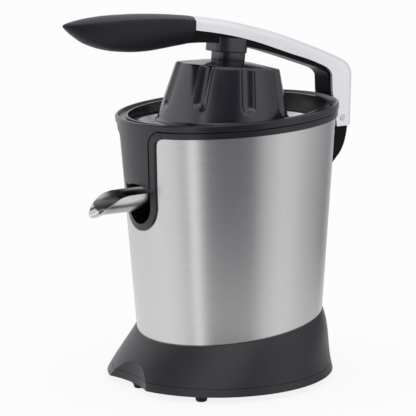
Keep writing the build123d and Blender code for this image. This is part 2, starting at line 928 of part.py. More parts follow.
# Reamer: ribbed dome with a driving bore
reamer_lip = 3.0
with BuildPart() as rib_form:
    with BuildSketch(front(0)):
        with BuildLine():
            Polyline((0, reamer_low), (reamer_radius, reamer_low), (reamer_radius, reamer_low + reamer_lip))
            Spline(
                (reamer_radius, reamer_low + reamer_lip),
                (reamer_radius * 0.74, reamer_low + 20),
                (reamer_radius * 0.36, reamer_low + 34),
                (0, reamer_tip),
            )
            Line((0, reamer_tip), (0, reamer_low))
        make_face()
    revolve(axis=body_axis)
with BuildPart() as rib_set:
    with BuildSketch(level(reamer_low)):
        for rib in range(reamer_ribs // 2):
            Rectangle(3 * reamer_radius, rib_width, rotation=360 * rib / reamer_ribs)
    extrude(amount=reamer_tip - reamer_low)
    add(rib_form.part, mode=Mode.INTERSECT)
core_radius = reamer_radius - rib_height
with BuildPart() as reamer:
    with BuildSketch(front(0)):
        with BuildLine():
            Polyline(
                (0, reamer_low),
                (reamer_radius, reamer_low),
                (reamer_radius, reamer_low + 2),
                (core_radius, reamer_low + reamer_lip),
            )
            Spline(
                (core_radius, reamer_low + reamer_lip),
                (core_radius * 0.73, reamer_low + 18),
                (core_radius * 0.36, reamer_low + 31),
                (0, reamer_tip - 3.5),
            )
            Line((0, reamer_tip - 3.5), (0, reamer_low))
        make_face()
    revolve(axis=body_axis)
    add(rib_set.part)
    with BuildSketch(level(reamer_low)):
        Circle(reamer_radius - 6)
        Circle(spindle_radius + 4, mode=Mode.SUBTRACT)
    extrude(amount=8, taper=20, mode=Mode.SUBTRACT)
    with BuildSketch(level(reamer_low)):
        Circle(spindle_radius + fit_gap)
    extrude(amount=4 + fit_gap, mode=Mode.SUBTRACT)
    with BuildSketch(level(reamer_low)):
        Circle(spindle_radius + fit_gap)
        with Locations((0, flat_half + 5 + fit_gap), (0, -flat_half - 5 - fit_gap)):
            Rectangle(20, 10, mode=Mode.SUBTRACT)
    extrude(amount=spindle_top - reamer_low + 0.3, mode=Mode.SUBTRACT)
reamer.part.label = "reamer"
export_step(reamer.part, "parts/reamer.step")

# Motor: laminated stator, windings, rotor, shaft, pinion, fan and bracket
with BuildPart() as motor_stator:
    with BuildSketch(level(stator_low)):
        with Locations(motor_at):
            RectangleRounded(2 * stator_half, 2 * stator_half, 4)
            Circle(rotor_radius + air_gap, mode=Mode.SUBTRACT)
    extrude(amount=stator_high - stator_low)
motor_stator.part.label = "motor_stator"
export_step(motor_stator.part, "parts/motor_stator.step")

with BuildPart() as motor_windings:
    for low in (stator_low - coil_height, stator_high):
        with BuildSketch(level(low)):
            with Locations(motor_at):
                Circle(stator_half - 2)
                Circle(rotor_radius + 2.5, mode=Mode.SUBTRACT)
        extrude(amount=coil_height)
motor_windings.part.label = "motor_windings"
export_step(motor_windings.part, "parts/motor_windings.step")

with BuildPart() as motor_rotor:
    with BuildSketch(level(stator_low - 2)):
        with Locations(motor_at):
            Circle(rotor_radius)
            Circle(shaft_radius, mode=Mode.SUBTRACT)
    extrude(amount=stator_high - stator_low + 4)
motor_rotor.part.label = "motor_rotor"
export_step(motor_rotor.part, "parts/motor_rotor.step")

bracket_low = stator_low - coil_height - 9.0
fan_low = bracket_low - 11.0
with BuildPart() as motor_shaft:
    with BuildSketch(level(fan_low)):
        with Locations(motor_at):
            Circle(shaft_radius)
    extrude(amount=stage_one[1] - fan_low)
motor_shaft.part.label = "motor_shaft"
export_step(motor_shaft.part, "parts/motor_shaft.step")

with BuildPart() as pinion:
    with BuildSketch(level(stage_one[0])):
        with BuildLine():
            Polyline(*gear_points(pinion_teeth, small_module, motor_at, pinion_turn), close=True)
        make_face()
        with Locations(motor_at):
            Circle(shaft_radius, mode=Mode.SUBTRACT)
    extrude(amount=stage_one[1] - stage_one[0])
pinion.part.label = "pinion"
export_step(pinion.part, "parts/pinion.step")

with BuildPart() as cooling_fan:
    with BuildSketch(level(fan_low)):
        with Locations(motor_at):
            Circle(fan_radius)
    extrude(amount=1.5)
    with BuildSketch(level(fan_low)):
        with Locations(motor_at):
            Circle(7)
            with PolarLocations(15, 9):
                Rectangle(17, 1.4)
    extrude(amount=8)
    with BuildSketch(level(fan_low)):
        with Locations(motor_at):
            Circle(shaft_radius)
    extrude(amount=8, mode=Mode.SUBTRACT)
cooling_fan.part.label = "cooling_fan"
export_step(cooling_fan.part, "parts/cooling_fan.step")

with BuildPart() as motor_bracket:
    with BuildSketch(level(bracket_low)):
        with Locations(motor_at):
            Rectangle(2 * stator_half, 14)
    extrude(amount=3)
    with BuildSketch(level(bracket_low)):
        with Locations((stator_half - 1, motor_y), (1 - stator_half, motor_y)):
            Rectangle(2, 14)
    extrude(amount=stator_low - bracket_low)
    with BuildSketch(level(bracket_low - 2)):
        with Locations(motor_at):
            Circle(6)
    extrude(amount=7)
    with BuildSketch(level(bracket_low - 2)):
        with Locations(motor_at):
            Circle(shaft_radius + fit_gap)
    extrude(amount=7, mode=Mode.SUBTRACT)
motor_bracket.part.label = "motor_bracket"
export_step(motor_bracket.part, "parts/motor_bracket.step")

with BuildPart() as motor_bush:
    with BuildSketch(level(deck_height - 3)):
        with Locations(motor_at):
            Circle(6)
            Circle(shaft_radius + fit_gap, mode=Mode.SUBTRACT)
    extrude(amount=deck + 5)
    with BuildSketch(level(deck_height)):
        with Locations(motor_at):
            Circle(9)
            Circle(6, mode=Mode.SUBTRACT)
    extrude(amount=-3)
motor_bush.part.label = "motor_bush"
export_step(motor_bush.part, "parts/motor_bush.step")

# Posts that hang the motor under the deck
post_spots = [(stator_half - 4, motor_y + 24), (4 - stator_half, motor_y + 24)]
post_spots += [(stator_half - 4, motor_y - 24), (4 - stator_half, motor_y - 24)]
with BuildPart() as motor_posts:
    with BuildSketch(level(stator_high)):
        with Locations(*post_spots):
            Circle(3)
    extrude(amount=deck_height - stator_high)
motor_posts.part.label = "motor_posts"
export_step(motor_posts.part, "parts/motor_posts.step")

# Spout: a steel half pipe that tips about two short pins
lip_line = [(-99.0, 159.0), (-104.5, 157.9), (-108.0, 156.8), (-111.0, 155.2), (-114.4, 152.9)]
lip_line += [(-118.5, 150.0), (-121.5, 147.6), (-124.2, 145.6), (spout_tip, 143.2)]
with BuildPart() as spout:
    with BuildSketch(front(spout_root)):
        with Locations((0, spout_edge)):
            Circle(spout_radius)
            Circle(spout_radius - spout_wall, mode=Mode.SUBTRACT)
        with Locations((0, spout_edge + big / 2)):
            Rectangle(big, big, mode=Mode.SUBTRACT)
    extrude(amount=spout_root - spout_tip + 2)
    with BuildSketch(front(spout_root)):
        with Locations((0, spout_edge)):
            Circle(spout_radius)
        with Locations((0, spout_edge + big / 2 - 2)):
            Rectangle(big, big, mode=Mode.SUBTRACT)
    extrude(amount=spout_wall)
    with BuildSketch(side(-40)):
        with BuildLine():
            Spline(*lip_line)
            Polyline(
                lip_line[-1],
                (spout_tip - 10, 140),
                (spout_tip - 10, spout_edge + 10),
                (spout_root + 10, spout_edge + 10),
                (spout_root + 10, spout_edge - 0.2),
                lip_line[0],
            )
        make_face()
    extrude(amount=80, mode=Mode.SUBTRACT)
    for sign in (-1, 1):
        with BuildSketch(side(sign * (spout_radius - spout_wall - 0.4))):
            with Locations(spout_pivot):
                Circle(trunnion_radius)
        extrude(amount=sign * (pocket_half + pocket_wall - spout_radius + spout_wall))
spout.part.label = "spout"
export_step(spout.part, "parts/spout.step")

# Hinge bracket on the back of the shell
with BuildPart() as hinge_bracket:
    with BuildSketch(side(-bracket_half)):
        with BuildLine():
            Polyline((70, 150), (84.5, 150), (98.9, 166.0), (105.1, 172.2))
            Spline((105.1, 172.2), (109.3, 178.4), (112.3, 186.7), (pin_y + lug_radius, pin_z))
            ThreePointArc(
                (pin_y + lug_radius, pin_z),
                (pin_y, pin_z + lug_radius),
                (pin_y - lug_radius, pin_z),
            )
            Polyline(
                (pin_y - lug_radius, pin_z),
                (rim_radius + 2.5, pin_z - 6),
                (rim_radius + 2.5, 196),
                (70, 196),
                (70, 150),
            )
        make_face()
    extrude(amount=2 * bracket_half)
    with BuildSketch(front(0)):
        with BuildLine():
            Polyline((0, 120), (shell_radius(120), 120), (shell_radius(240), 240), (0, 240), close=True)
        make_face()
    revolve(axis=body_axis, mode=Mode.SUBTRACT)
    with BuildSketch(side(-bracket_half)):
        with Locations((pin_y, pin_z)):
            Circle(pin_radius)
    extrude(amount=2 * bracket_half, mode=Mode.SUBTRACT)
    with BuildSketch(front(70)):
        with Locations(*bracket_screw_spots):
            Circle(1.5)
    extrude(amount=-21, mode=Mode.SUBTRACT)
hinge_bracket.part.label = "hinge_bracket"
export_step(hinge_bracket.part, "parts/hinge_bracket.step")

# Screws that hold the bracket from inside the shell
screw_face = sqrt((shell_radius(155) - shell_wall) ** 2 - 8.2**2) - 0.2
with BuildPart() as bracket_screws:
    with BuildSketch(front(screw_face)):
        with Locations(*bracket_screw_spots):
            Circle(3.2)
    extrude(amount=2.2)
    with BuildSketch(front(screw_face)):
        with Locations(*bracket_screw_spots):
            Circle(1.5)
    extrude(amount=70 + 21 - screw_face - 1)
    with BuildSketch(front(screw_face)):
        with Locations(*bracket_screw_spots):
            Circle(1.5)
    extrude(amount=-(70 + 21 - screw_face - 1))
bracket_screws.part.label = "bracket_screws"
export_step(bracket_screws.part, "parts/bracket_screws.step")

# Hinge pin, fixed in the bracket
with BuildPart() as hinge_pin:
    with BuildSketch(side(-arm_half - 0.4)):
        with Locations((pin_y, pin_z)):
            Circle(pin_radius)
    extrude(amount=2 * arm_half + 0.8)
    chamfer(hinge_pin.edges(), 0.4)
hinge_pin.part.label = "hinge_pin"
export_step(hinge_pin.part, "parts/hinge_pin.step")

# Arm shell, a channel of silver sheet with a crowned roof
arm_front = crown[0][0]
roof_end = crown[-1]
with BuildPart() as arm_shell:
    with BuildSketch(side(-arm_half)):
        with BuildLine():
            roof_line = Spline(*crown)
            TangentArc(roof_end, (arm_back, back_corner), tangent=roof_line % 1)
            Polyline(
                (arm_back, back_corner),
                (arm_back - 1.4, hinge_foot + 1.5),
                (arm_back - 2.9, hinge_foot),
                (101.2, hinge_foot),
                (96.5, 226.0),
                wall_edge[0],
            )
            Spline(*wall_edge)
            Line(wall_edge[-1], crown[0])
        make_face()
    extrude(amount=2 * arm_half)
    roof_edges = [
        edge
        for edge in arm_shell.edges()
        if abs(abs(edge.center().X) - arm_half) < 0.01
        and on_roof(edge.center().Y - body_y, edge.center().Z)
    ]
    fillet(roof_edges, roof_round)
    with BuildSketch(side(-arm_half + arm_wall)):
        with BuildLine():
            Spline(*[(y - 0.2, z - arm_roof) for y, z in crown])
            Polyline(
                (roof_end[0] - 0.2, roof_end[1] - arm_roof),
                (arm_back - arm_roof - 1.5, back_corner + 2),
                (arm_back - arm_roof - 1.5, opening_back),
                (arm_back + 5, opening_back),
                (arm_back + 5, hinge_foot - 10),
                (60, hinge_foot - 10),
                (crown[0][0] - 0.2, hinge_foot - 10),
                (crown[0][0] - 0.2, crown[0][1] - arm_roof),
            )
        make_face()
    extrude(amount=2 * (arm_half - arm_wall), mode=Mode.SUBTRACT)
    with BuildSketch(side(-arm_half)):
        with Locations((pin_y, pin_z)):
            Circle(pin_radius + fit_gap)
    extrude(amount=2 * arm_half, mode=Mode.SUBTRACT)
arm_shell.part.label = "arm_shell"
export_step(arm_shell.part, "parts/arm_shell.step")

# Liner inside the arm, with a tongue that carries the grip
tongue_end = -92.0
liner_half = arm_half - arm_wall - 0.2
with BuildPart() as arm_liner:
    with BuildSketch(side(-liner_half)):
        with BuildLine():
            Spline(*[(y - 0.2, z - arm_roof) for y, z in crown])
            Polyline(
                (roof_end[0] - 0.2, roof_end[1] - arm_roof),
                (arm_back - arm_roof - 1.7, back_corner + 2),
                (arm_back - arm_roof - 1.7, opening_back + 1),
                (95.0, opening_back + 1),
                liner_edge[0],
            )
            Spline(*liner_edge)
            Polyline(
                liner_edge[-1],
                (tongue_end, 278.0),
                (tongue_end, 288.0),
                (crown[0][0] - 0.2, crown[0][1] - arm_roof),
            )
        make_face()
    extrude(amount=2 * liner_half)
arm_liner.part.label = "arm_liner"
export_step(arm_liner.part, "parts/arm_liner.step")

# Grip, a soft leaf: stations along the length give crest, crease, belly and half width
grip_stations = [
    (-grip_reach, 292.0, 291.4, 290.2, 1.6),
    (-147.0, 292.8, 291.6, 288.4, 3.4),
    (-141.0, 294.2, 292.0, 283.2, 7.6),
    (-130.0, 296.0, 292.6, 276.0, 12.0),
    (-112.0, 297.4, 293.4, 270.9, 15.2),
    (-90.0, 297.6, 293.7, 268.9, 16.2),
    (-62.0, 296.2, 293.0, 270.3, 16.0),
    (-44.0, 294.4, 291.2, 271.6, 15.4),
    (crown[0][0], 293.4, 290.0, 272.9, 15.0),
]
with BuildPart() as grip:
    for y, crest, crease, belly, half in grip_stations:
        with BuildSketch(front(y)):
            with BuildLine():
                ThreePointArc((-half, crease), (0, crest), (half, crease))
                Spline(
                    (half, crease),
                    (half * 0.86, crease - 0.55 * (crease - belly)),
                    (0, belly),
                    (-half * 0.86, crease - 0.55 * (crease - belly)),
                    (-half, crease),
                )
            make_face()
    loft()
    add(arm_liner.part, mode=Mode.SUBTRACT)
grip.part.label = "grip"
export_step(grip.part, "parts/grip.step")

# Stem block under the arm and the neck of the cup
block_top = 66.0
block_width = 26.0
block_depth = 27.9
block_shift = -2.55
neck_width = 21.0
neck_depth = 22.9
neck_shift = -0.25
neck_low = cup_height + roof_dome
block_low = cup_height + 10.5
with BuildPart() as stem_block:
    with BuildSketch(cup_level(block_low)):
        with Locations((0, block_shift)):
            RectangleRounded(block_width, block_depth, 3.5)
    extrude(amount=block_top - block_low)
    add(arm_liner.part, mode=Mode.SUBTRACT)
    add(arm_shell.part, mode=Mode.SUBTRACT)
stem_block.part.label = "stem_block"
export_step(stem_block.part, "parts/stem_block.step")

with BuildPart() as cup_neck:
    with BuildSketch(cup_level(neck_low)):
        with Locations((0, neck_shift)):
            RectangleRounded(neck_width, neck_depth, 3)
    extrude(amount=block_low - neck_low)
cup_neck.part.label = "cup_neck"
export_step(cup_neck.part, "parts/cup_neck.step")

# Press cup: a hollow cone with flutes that open at the top
slant = atan2(cup_low_radius - cup_high_radius, cup_height)
skirt = 12.0
with BuildPart() as press_cup:
    with BuildSketch(cup_section):
        with BuildLine():
            Polyline(
                (0, cup_height + roof_dome),
                (roof_flat, cup_height + roof_dome),
                (cup_high_radius, cup_height),
                (cup_low_radius + skirt * tan(slant), -skirt),
                (cup_low_radius + skirt * tan(slant) - cup_wall, -skirt),
                (cup_high_radius - cup_wall, cup_height - 6),
                (cup_high_radius - 14, cup_height - 4),
                (0, cup_height - 4),
                close=True,
            )
        make_face()
    revolve(axis=cup_axis)
    with BuildSketch(level(cup_edge)):
        Circle(big)
    extrude(amount=-big, mode=Mode.SUBTRACT)
    for flute in range(flutes):
        azimuth = 2 * pi * (flute + flute_offset) / flutes
        outward = Vector(1, 0, 0) * sin(azimuth) - cup_level(0).y_dir * cos(azimuth)
        upward = cup_level(0).z_dir * cos(slant) - outward * sin(slant)
        normal = outward * cos(slant) + cup_level(0).z_dir * sin(slant)
        start = cup_level(0).origin + outward * cup_low_radius + upward * flute_start
        start = start + normal * (flute_radius - flute_inset)
        with BuildSketch(Plane(origin=start, x_dir=normal, z_dir=normal.cross(upward))):
            with BuildLine():
                Polyline((0, -flute_radius), (0, 60), (flute_radius, 60), (flute_radius, 0))
                ThreePointArc(
                    (flute_radius, 0),
                    (flute_radius * sqrt(0.5), -flute_radius * sqrt(0.5)),
                    (0, -flute_radius),
                )
            make_face()
        revolve(axis=Axis(start, upward), mode=Mode.SUBTRACT)
press_cup.part.label = "press_cup"
export_step(press_cup.part, "parts/press_cup.step")
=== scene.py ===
# %% [markdown]
# # Electric citrus juicer with a lever arm
# The machine is a steel cone on a black base, with a bowl, a spout, and an arm that presses half a fruit
# on a reamer.  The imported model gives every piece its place, so each piece made here is drawn where the
# frame says.  The pieces whose surface needs more than a flat cut are modelled again as meshes, and the
# others keep their shape and get a finish.

# %% Load the frame
import json
from math import acos, atan, cos, pi, radians, sin, sqrt

import bmesh
import bpy
from mathutils import Matrix, Vector


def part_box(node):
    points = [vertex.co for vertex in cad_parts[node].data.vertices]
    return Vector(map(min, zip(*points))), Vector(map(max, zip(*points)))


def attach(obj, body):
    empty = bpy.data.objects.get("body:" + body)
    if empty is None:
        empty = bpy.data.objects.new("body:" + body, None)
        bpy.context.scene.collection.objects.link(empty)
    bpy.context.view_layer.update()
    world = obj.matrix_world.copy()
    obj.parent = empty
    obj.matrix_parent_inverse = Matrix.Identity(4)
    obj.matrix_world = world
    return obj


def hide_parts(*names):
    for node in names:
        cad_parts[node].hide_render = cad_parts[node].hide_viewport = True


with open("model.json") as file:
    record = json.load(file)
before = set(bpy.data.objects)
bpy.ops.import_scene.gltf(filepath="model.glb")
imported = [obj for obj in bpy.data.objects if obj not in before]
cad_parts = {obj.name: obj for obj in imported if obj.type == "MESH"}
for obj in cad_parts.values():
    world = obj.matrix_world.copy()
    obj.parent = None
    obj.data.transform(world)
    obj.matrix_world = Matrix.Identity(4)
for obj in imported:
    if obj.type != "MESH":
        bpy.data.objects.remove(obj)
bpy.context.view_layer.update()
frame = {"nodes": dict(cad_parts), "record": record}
nodes = frame["nodes"]
MM = 0.001
bowl_low, bowl_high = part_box("strainer")
AXIS_Y = (bowl_low[1] + bowl_high[1]) / 2
print("nodes", len(nodes), "body axis at y", round(AXIS_Y, 4))


def place(x, y, z):
    """A point in millimetres from the body axis, as a place in the frame."""
    return Vector((x * MM, y * MM + AXIS_Y, z * MM))


# %% [markdown]
# ## The camera
# The photograph was taken from the right of the spout, a little above the rim, with a long lens.  A camera
# can be aimed with a constraint, but the photograph also leans by half a degree, so its three axes are
# written out.

# %% Camera
VIEW_AZIMUTH = radians(57.3)
VIEW_ELEVATION = radians(10.27)
VIEW_DISTANCE = 1501.0
VIEW_FOCAL_PIXELS = 1851.0
VIEW_ROLL = radians(-0.65)
VIEW_ASIDE = -15.95
VIEW_HEIGHT = 136.45
VIEW_FARTHEST = 50000
PHOTO_WIDTH = 416
SENSOR = 36.0

back = Vector(
    (
        sin(VIEW_AZIMUTH) * cos(VIEW_ELEVATION),
        -cos(VIEW_AZIMUTH) * cos(VIEW_ELEVATION),
        sin(VIEW_ELEVATION),
    )
)
level_right = Vector((cos(VIEW_AZIMUTH), sin(VIEW_AZIMUTH), 0))
level_up = back.cross(level_right)
right = cos(VIEW_ROLL) * level_right + sin(VIEW_ROLL) * level_up
up = -sin(VIEW_ROLL) * level_right + cos(VIEW_ROLL) * level_up
aim = level_right * VIEW_ASIDE + Vector((0, 0, VIEW_HEIGHT))
stand = aim + back * VIEW_DISTANCE
camera_data = bpy.data.cameras.new("photo_camera")
camera_data.sensor_width = SENSOR
camera_data.lens = VIEW_FOCAL_PIXELS / PHOTO_WIDTH * SENSOR
camera_data.clip_end = VIEW_FARTHEST * MM
camera = bpy.data.objects.new("photo_camera", camera_data)
bpy.context.scene.collection.objects.link(camera)
turned = Matrix((right, up, back)).transposed().to_4x4()
camera.matrix_world = Matrix.Translation(place(*stand)) @ turned
bpy.context.scene.camera = camera
print("lens", round(camera_data.lens, 1), "mm")

# %% [markdown]
# ## Shader arithmetic
# A finish is a small sum: so much grain, so much wear.  Written as nodes, a sum is hard to read, so a wire
# from one node takes part in Python arithmetic and every operator adds its Math node.  All other nodes come
# from one method.

# %% Wires and benches
class Wire:
    """One output socket, which can be added, multiplied and raised to a power like a number."""

    def __init__(self, bench, socket):
        self.bench = bench
        self.socket = socket

    def join(self, operation, first, second):
        return self.bench.node("ShaderNodeMath", {"operation": operation}, {0: first, 1: second})

    def __add__(self, other):
        return self.join("ADD", self, other)

    def __radd__(self, other):
        return self.join("ADD", other, self)

    def __sub__(self, other):
        return self.join("SUBTRACT", self, other)

    def __rsub__(self, other):
        return self.join("SUBTRACT", other, self)

    def __mul__(self, other):
        return self.join("MULTIPLY", self, other)

    def __rmul__(self, other):
        return self.join("MULTIPLY", other, self)

    def __truediv__(self, other):
        return self.join("DIVIDE", self, other)

    def __rtruediv__(self, other):
        return self.join("DIVIDE", other, self)

    def __pow__(self, other):
        return self.join("POWER", self, other)

    def __rpow__(self, other):
        return self.join("POWER", other, self)


class Bench:
    """A node tree on which a finish is put together."""

    def __init__(self, tree):
        self.tree = tree

    def node(self, kind, settings=None, sockets=None, output=0):
        made = self.tree.nodes.new(kind)
        for name, value in (settings or {}).items():
            if name == "stops":
                ramp = made.color_ramp.elements
                while len(ramp) < len(value):
                    ramp.new(0.5)
                for stop, (position, colour) in zip(ramp, value):
                    stop.position = position
                    stop.color = colour
            else:
                setattr(made, name, value)
        for key, value in (sockets or {}).items():
            if isinstance(value, Wire):
                self.tree.links.new(value.socket, made.inputs[key])
            else:
                made.inputs[key].default_value = value
        return Wire(self, made.outputs[output])

    def axis(self, where, letter):
        return self.node("ShaderNodeSeparateXYZ", {}, {0: where}, output=letter)

    def mix(self, amount, first, second):
        sockets = {"Factor": amount, "A": first, "B": second}
        return self.node("ShaderNodeMix", {"data_type": "RGBA"}, sockets, output=2)

    def noise(self, where, scale, detail=3.0, rough=0.55):
        sockets = {"Vector": where, "Scale": scale, "Detail": detail, "Roughness": rough}
        return self.node("ShaderNodeTexNoise", {}, sockets)

    def clamp(self, value, low, high, to_low, to_high):
        sockets = {"Value": value, "From Min": low, "From Max": high, "To Min": to_low, "To Max": to_high}
        return self.node("ShaderNodeMapRange", {"clamp": True}, sockets)


print("wires ready")

# %% [markdown]
# ## Finishes
# Every surface of the machine is one of a few: brushed sheet, polished sheet, moulded plastic with a satin
# or a gloss skin, soft-touch rubber, and the metals inside.  Each is a Principled shader whose colour,
# roughness and bump come from grain at its real size, because one flat colour reads as a drawing.  Noise
# keeps near its middle value, so each finish says which stretch of it counts.

# %% Finish helpers
NOISE_SPREAD = (0.3, 0.7)
METAL_SPREAD = (0.35, 0.65)
PLASTIC_SPREAD = (0.35, 0.7)
FINE_RELIEF = 0.0001
COARSE_RELIEF = 0.0002


def start_finish(name, constants):
    """A new material with its bench, its shader and a place on the surface in metres."""
    material = bpy.data.materials.new(name)
    material.use_nodes = True
    tree = material.node_tree
    shader = tree.nodes["Principled BSDF"]
    for socket, value in constants.items():
        shader.inputs[socket].default_value = value
    bench = Bench(tree)
    where = bench.node("ShaderNodeTexCoord", output="Object")
    return material, bench, shader, where


def feed(bench, shader, sockets):
    """Joins a wire to each socket named."""
    for name, wire in sockets.items():
        bench.tree.links.new(wire.socket, shader.inputs[name])


def bump(bench, height, strength, distance):
    return bench.node("ShaderNodeBump", {}, {"Height": height, "Strength": strength, "Distance": distance})


def stretched(bench, where, x, y, z):
    """The place with each axis scaled, for grain that runs one way."""
    return bench.node("ShaderNodeVectorMath", {"operation": "MULTIPLY"}, {0: where, 1: (x, y, z)})


print("finish helpers ready")

# %% [markdown]
# The steel of the body is brushed round the cone.  The strokes are long round the body and very fine up and
# down, so the noise is read at the angle round the axis and at the height.  The seam of that angle lies at
# the back.

# %% Brushed steel round the body
STROKES_ROUND = 3.0
STREAKS_ROUND = 0.8
STREAK_HEIGHT = 0.2
STREAK_LAYER = 3.0


def brushed_round(name, colour, dark, rough, stroke):
    material, bench, shader, where = start_finish(
        name, {"Metallic": 1.0, "Anisotropic": 0.6, "Anisotropic Rotation": 0.25}
    )
    x = bench.axis(where, "X")
    y = bench.axis(where, "Y") - AXIS_Y
    z = bench.axis(where, "Z")
    angle = bench.node("ShaderNodeMath", {"operation": "ARCTAN2"}, {0: x, 1: 0 - y})
    strokes = {"X": angle * STROKES_ROUND, "Y": z * stroke, "Z": 0.0}
    streaks = {"X": angle * STREAKS_ROUND, "Y": z * (stroke * STREAK_HEIGHT), "Z": STREAK_LAYER}
    fine = bench.noise(bench.node("ShaderNodeCombineXYZ", {}, strokes), 1.0, detail=4.0, rough=0.7)
    streak = bench.noise(bench.node("ShaderNodeCombineXYZ", {}, streaks), 1.0, detail=2.0, rough=0.5)
    cloud = bench.noise(where, 9.0, detail=2.0, rough=0.5)
    tone = bench.clamp(fine * 0.6 + streak * 0.25 + cloud * 0.15, *NOISE_SPREAD, 0.0, 1.0)
    haze = fine * 0.8 + cloud * 0.2
    feed(
        bench,
        shader,
        {
            "Base Color": bench.mix(tone, dark, colour),
            "Roughness": bench.clamp(haze, *NOISE_SPREAD, rough - 0.04, rough + 0.05),
            "Normal": bump(bench, fine, strength=0.03, distance=FINE_RELIEF),
        },
    )
    return material


shell_steel = brushed_round(
    "brushed_shell", (0.67, 0.665, 0.655, 1), (0.615, 0.61, 0.60, 1), rough=0.24, stroke=3000.0
)
print("brushed steel")

# %% [markdown]
# The spout and the strainer are polished sheet, and the hinge pin is polished too.  Polished metal still
# has faint strokes and a little haze, which keep its reflections from looking like glass.  The arm is a
# pale satin silver and only part metal: a full metal there would mirror the dark stretches of the room.

# %% Polished steel and the satin silver of the arm
def polished(name, colour, dark, rough, grain):
    material, bench, shader, where = start_finish(name, {"Metallic": 1.0})
    strokes = bench.noise(stretched(bench, where, x=900.0, y=60.0, z=900.0), 1.0)
    haze = bench.noise(where, grain)
    tone = bench.clamp(strokes * 0.5 + haze * 0.5, *METAL_SPREAD, 0.0, 1.0)
    wear = haze * 0.6 + strokes * 0.4
    feed(
        bench,
        shader,
        {
            "Base Color": bench.mix(tone, dark, colour),
            "Roughness": bench.clamp(wear, *NOISE_SPREAD, rough - 0.05, rough + 0.06),
            "Normal": bump(bench, strokes, strength=0.05, distance=FINE_RELIEF),
        },
    )
    return material


def satin_silver(name, colour, dark, rough):
    material, bench, shader, where = start_finish(name, {"Metallic": 0.4, "Specular IOR Level": 0.15})
    flake = bench.noise(where, 2600.0, detail=2.0)
    cloud = bench.noise(where, 30.0)
    blend = flake * 0.5 + cloud * 0.5
    tone = bench.clamp(blend, *METAL_SPREAD, 0.0, 1.0)
    feed(
        bench,
        shader,
        {
            "Base Color": bench.mix(tone, dark, colour),
            "Roughness": bench.clamp(blend, *NOISE_SPREAD, rough - 0.04, rough + 0.05),
            "Normal": bump(bench, flake, strength=0.04, distance=FINE_RELIEF),
        },
    )
    return material


sheet_steel = polished(
    "polished_steel", (0.72, 0.715, 0.705, 1), (0.64, 0.635, 0.625, 1), rough=0.17, grain=60.0
)
plain_steel = polished("plain_steel", (0.56, 0.56, 0.57, 1), (0.42, 0.42, 0.43, 1), rough=0.32, grain=90.0)
arm_silver = satin_silver("arm_silver", (0.93, 0.935, 0.955, 1), (0.88, 0.885, 0.905, 1), rough=0.30)
print("polished steel and satin silver")

# %% [markdown]
# The black plastics differ in their skin: the base has a fine spark-eroded texture, the rim and the bowl are
# smoother, the cup is glossy and shows faint handling marks, and the grip has a soft coating that scatters
# light at its edges.

# %% Skins of the black plastics
def satin_plastic(name, colour, pale, rough, pit, shine=0.4):
    material, bench, shader, where = start_finish(name, {"Specular IOR Level": shine})
    grain = bench.noise(where, pit, detail=2.0, rough=0.6)
    cloud = bench.noise(where, 22.0)
    blend = grain * 0.4 + cloud * 0.6
    tone = bench.clamp(blend, *PLASTIC_SPREAD, 0.0, 1.0)
    feed(
        bench,
        shader,
        {
            "Base Color": bench.mix(tone, colour, pale),
            "Roughness": bench.clamp(blend, *NOISE_SPREAD, rough - 0.05, rough + 0.07),
            "Normal": bump(bench, grain, strength=0.12, distance=COARSE_RELIEF),
        },
    )
    return material


def gloss_plastic(name, colour, pale, rough, shine):
    material, bench, shader, where = start_finish(
        name, {"Specular IOR Level": shine, "Coat Roughness": 0.1}
    )
    rub = bench.noise(stretched(bench, where, x=160.0, y=160.0, z=900.0), 1.0)
    cloud = bench.noise(where, 35.0, detail=4.0)
    tone = bench.clamp(cloud, *PLASTIC_SPREAD, 0.0, 1.0)
    wear = rub * 0.5 + cloud * 0.5
    feed(
        bench,
        shader,
        {
            "Base Color": bench.mix(tone, colour, pale),
            "Roughness": bench.clamp(wear, *NOISE_SPREAD, rough - 0.04, rough + 0.08),
            "Coat Weight": bench.clamp(cloud, *NOISE_SPREAD, 0.05, 0.15),
            "Normal": bump(bench, rub, strength=0.03, distance=FINE_RELIEF),
        },
    )
    return material


def soft_rubber(name, colour, pale, rough, pit):
    material, bench, shader, where = start_finish(
        name, {"Specular IOR Level": 0.3, "Sheen Weight": 0.06, "Sheen Roughness": 0.4}
    )
    grain = bench.noise(where, pit, rough=0.7)
    cloud = bench.noise(where, 26.0)
    blend = grain * 0.5 + cloud * 0.5
    tone = bench.clamp(blend, *PLASTIC_SPREAD, 0.0, 1.0)
    feed(
        bench,
        shader,
        {
            "Base Color": bench.mix(tone, colour, pale),
            "Roughness": bench.clamp(blend, *NOISE_SPREAD, rough - 0.05, rough + 0.06),
            "Normal": bump(bench, grain, strength=0.18, distance=COARSE_RELIEF),
        },
    )
    return material


print("skins ready")

# %% [markdown]
# Apart from the rubber of the feet, the blacks lean a little to blue.  None is fully black, because real
# plastic still sends back about one part in a hundred of the light.  What makes them differ most is how
# rough and how shiny the skin is.

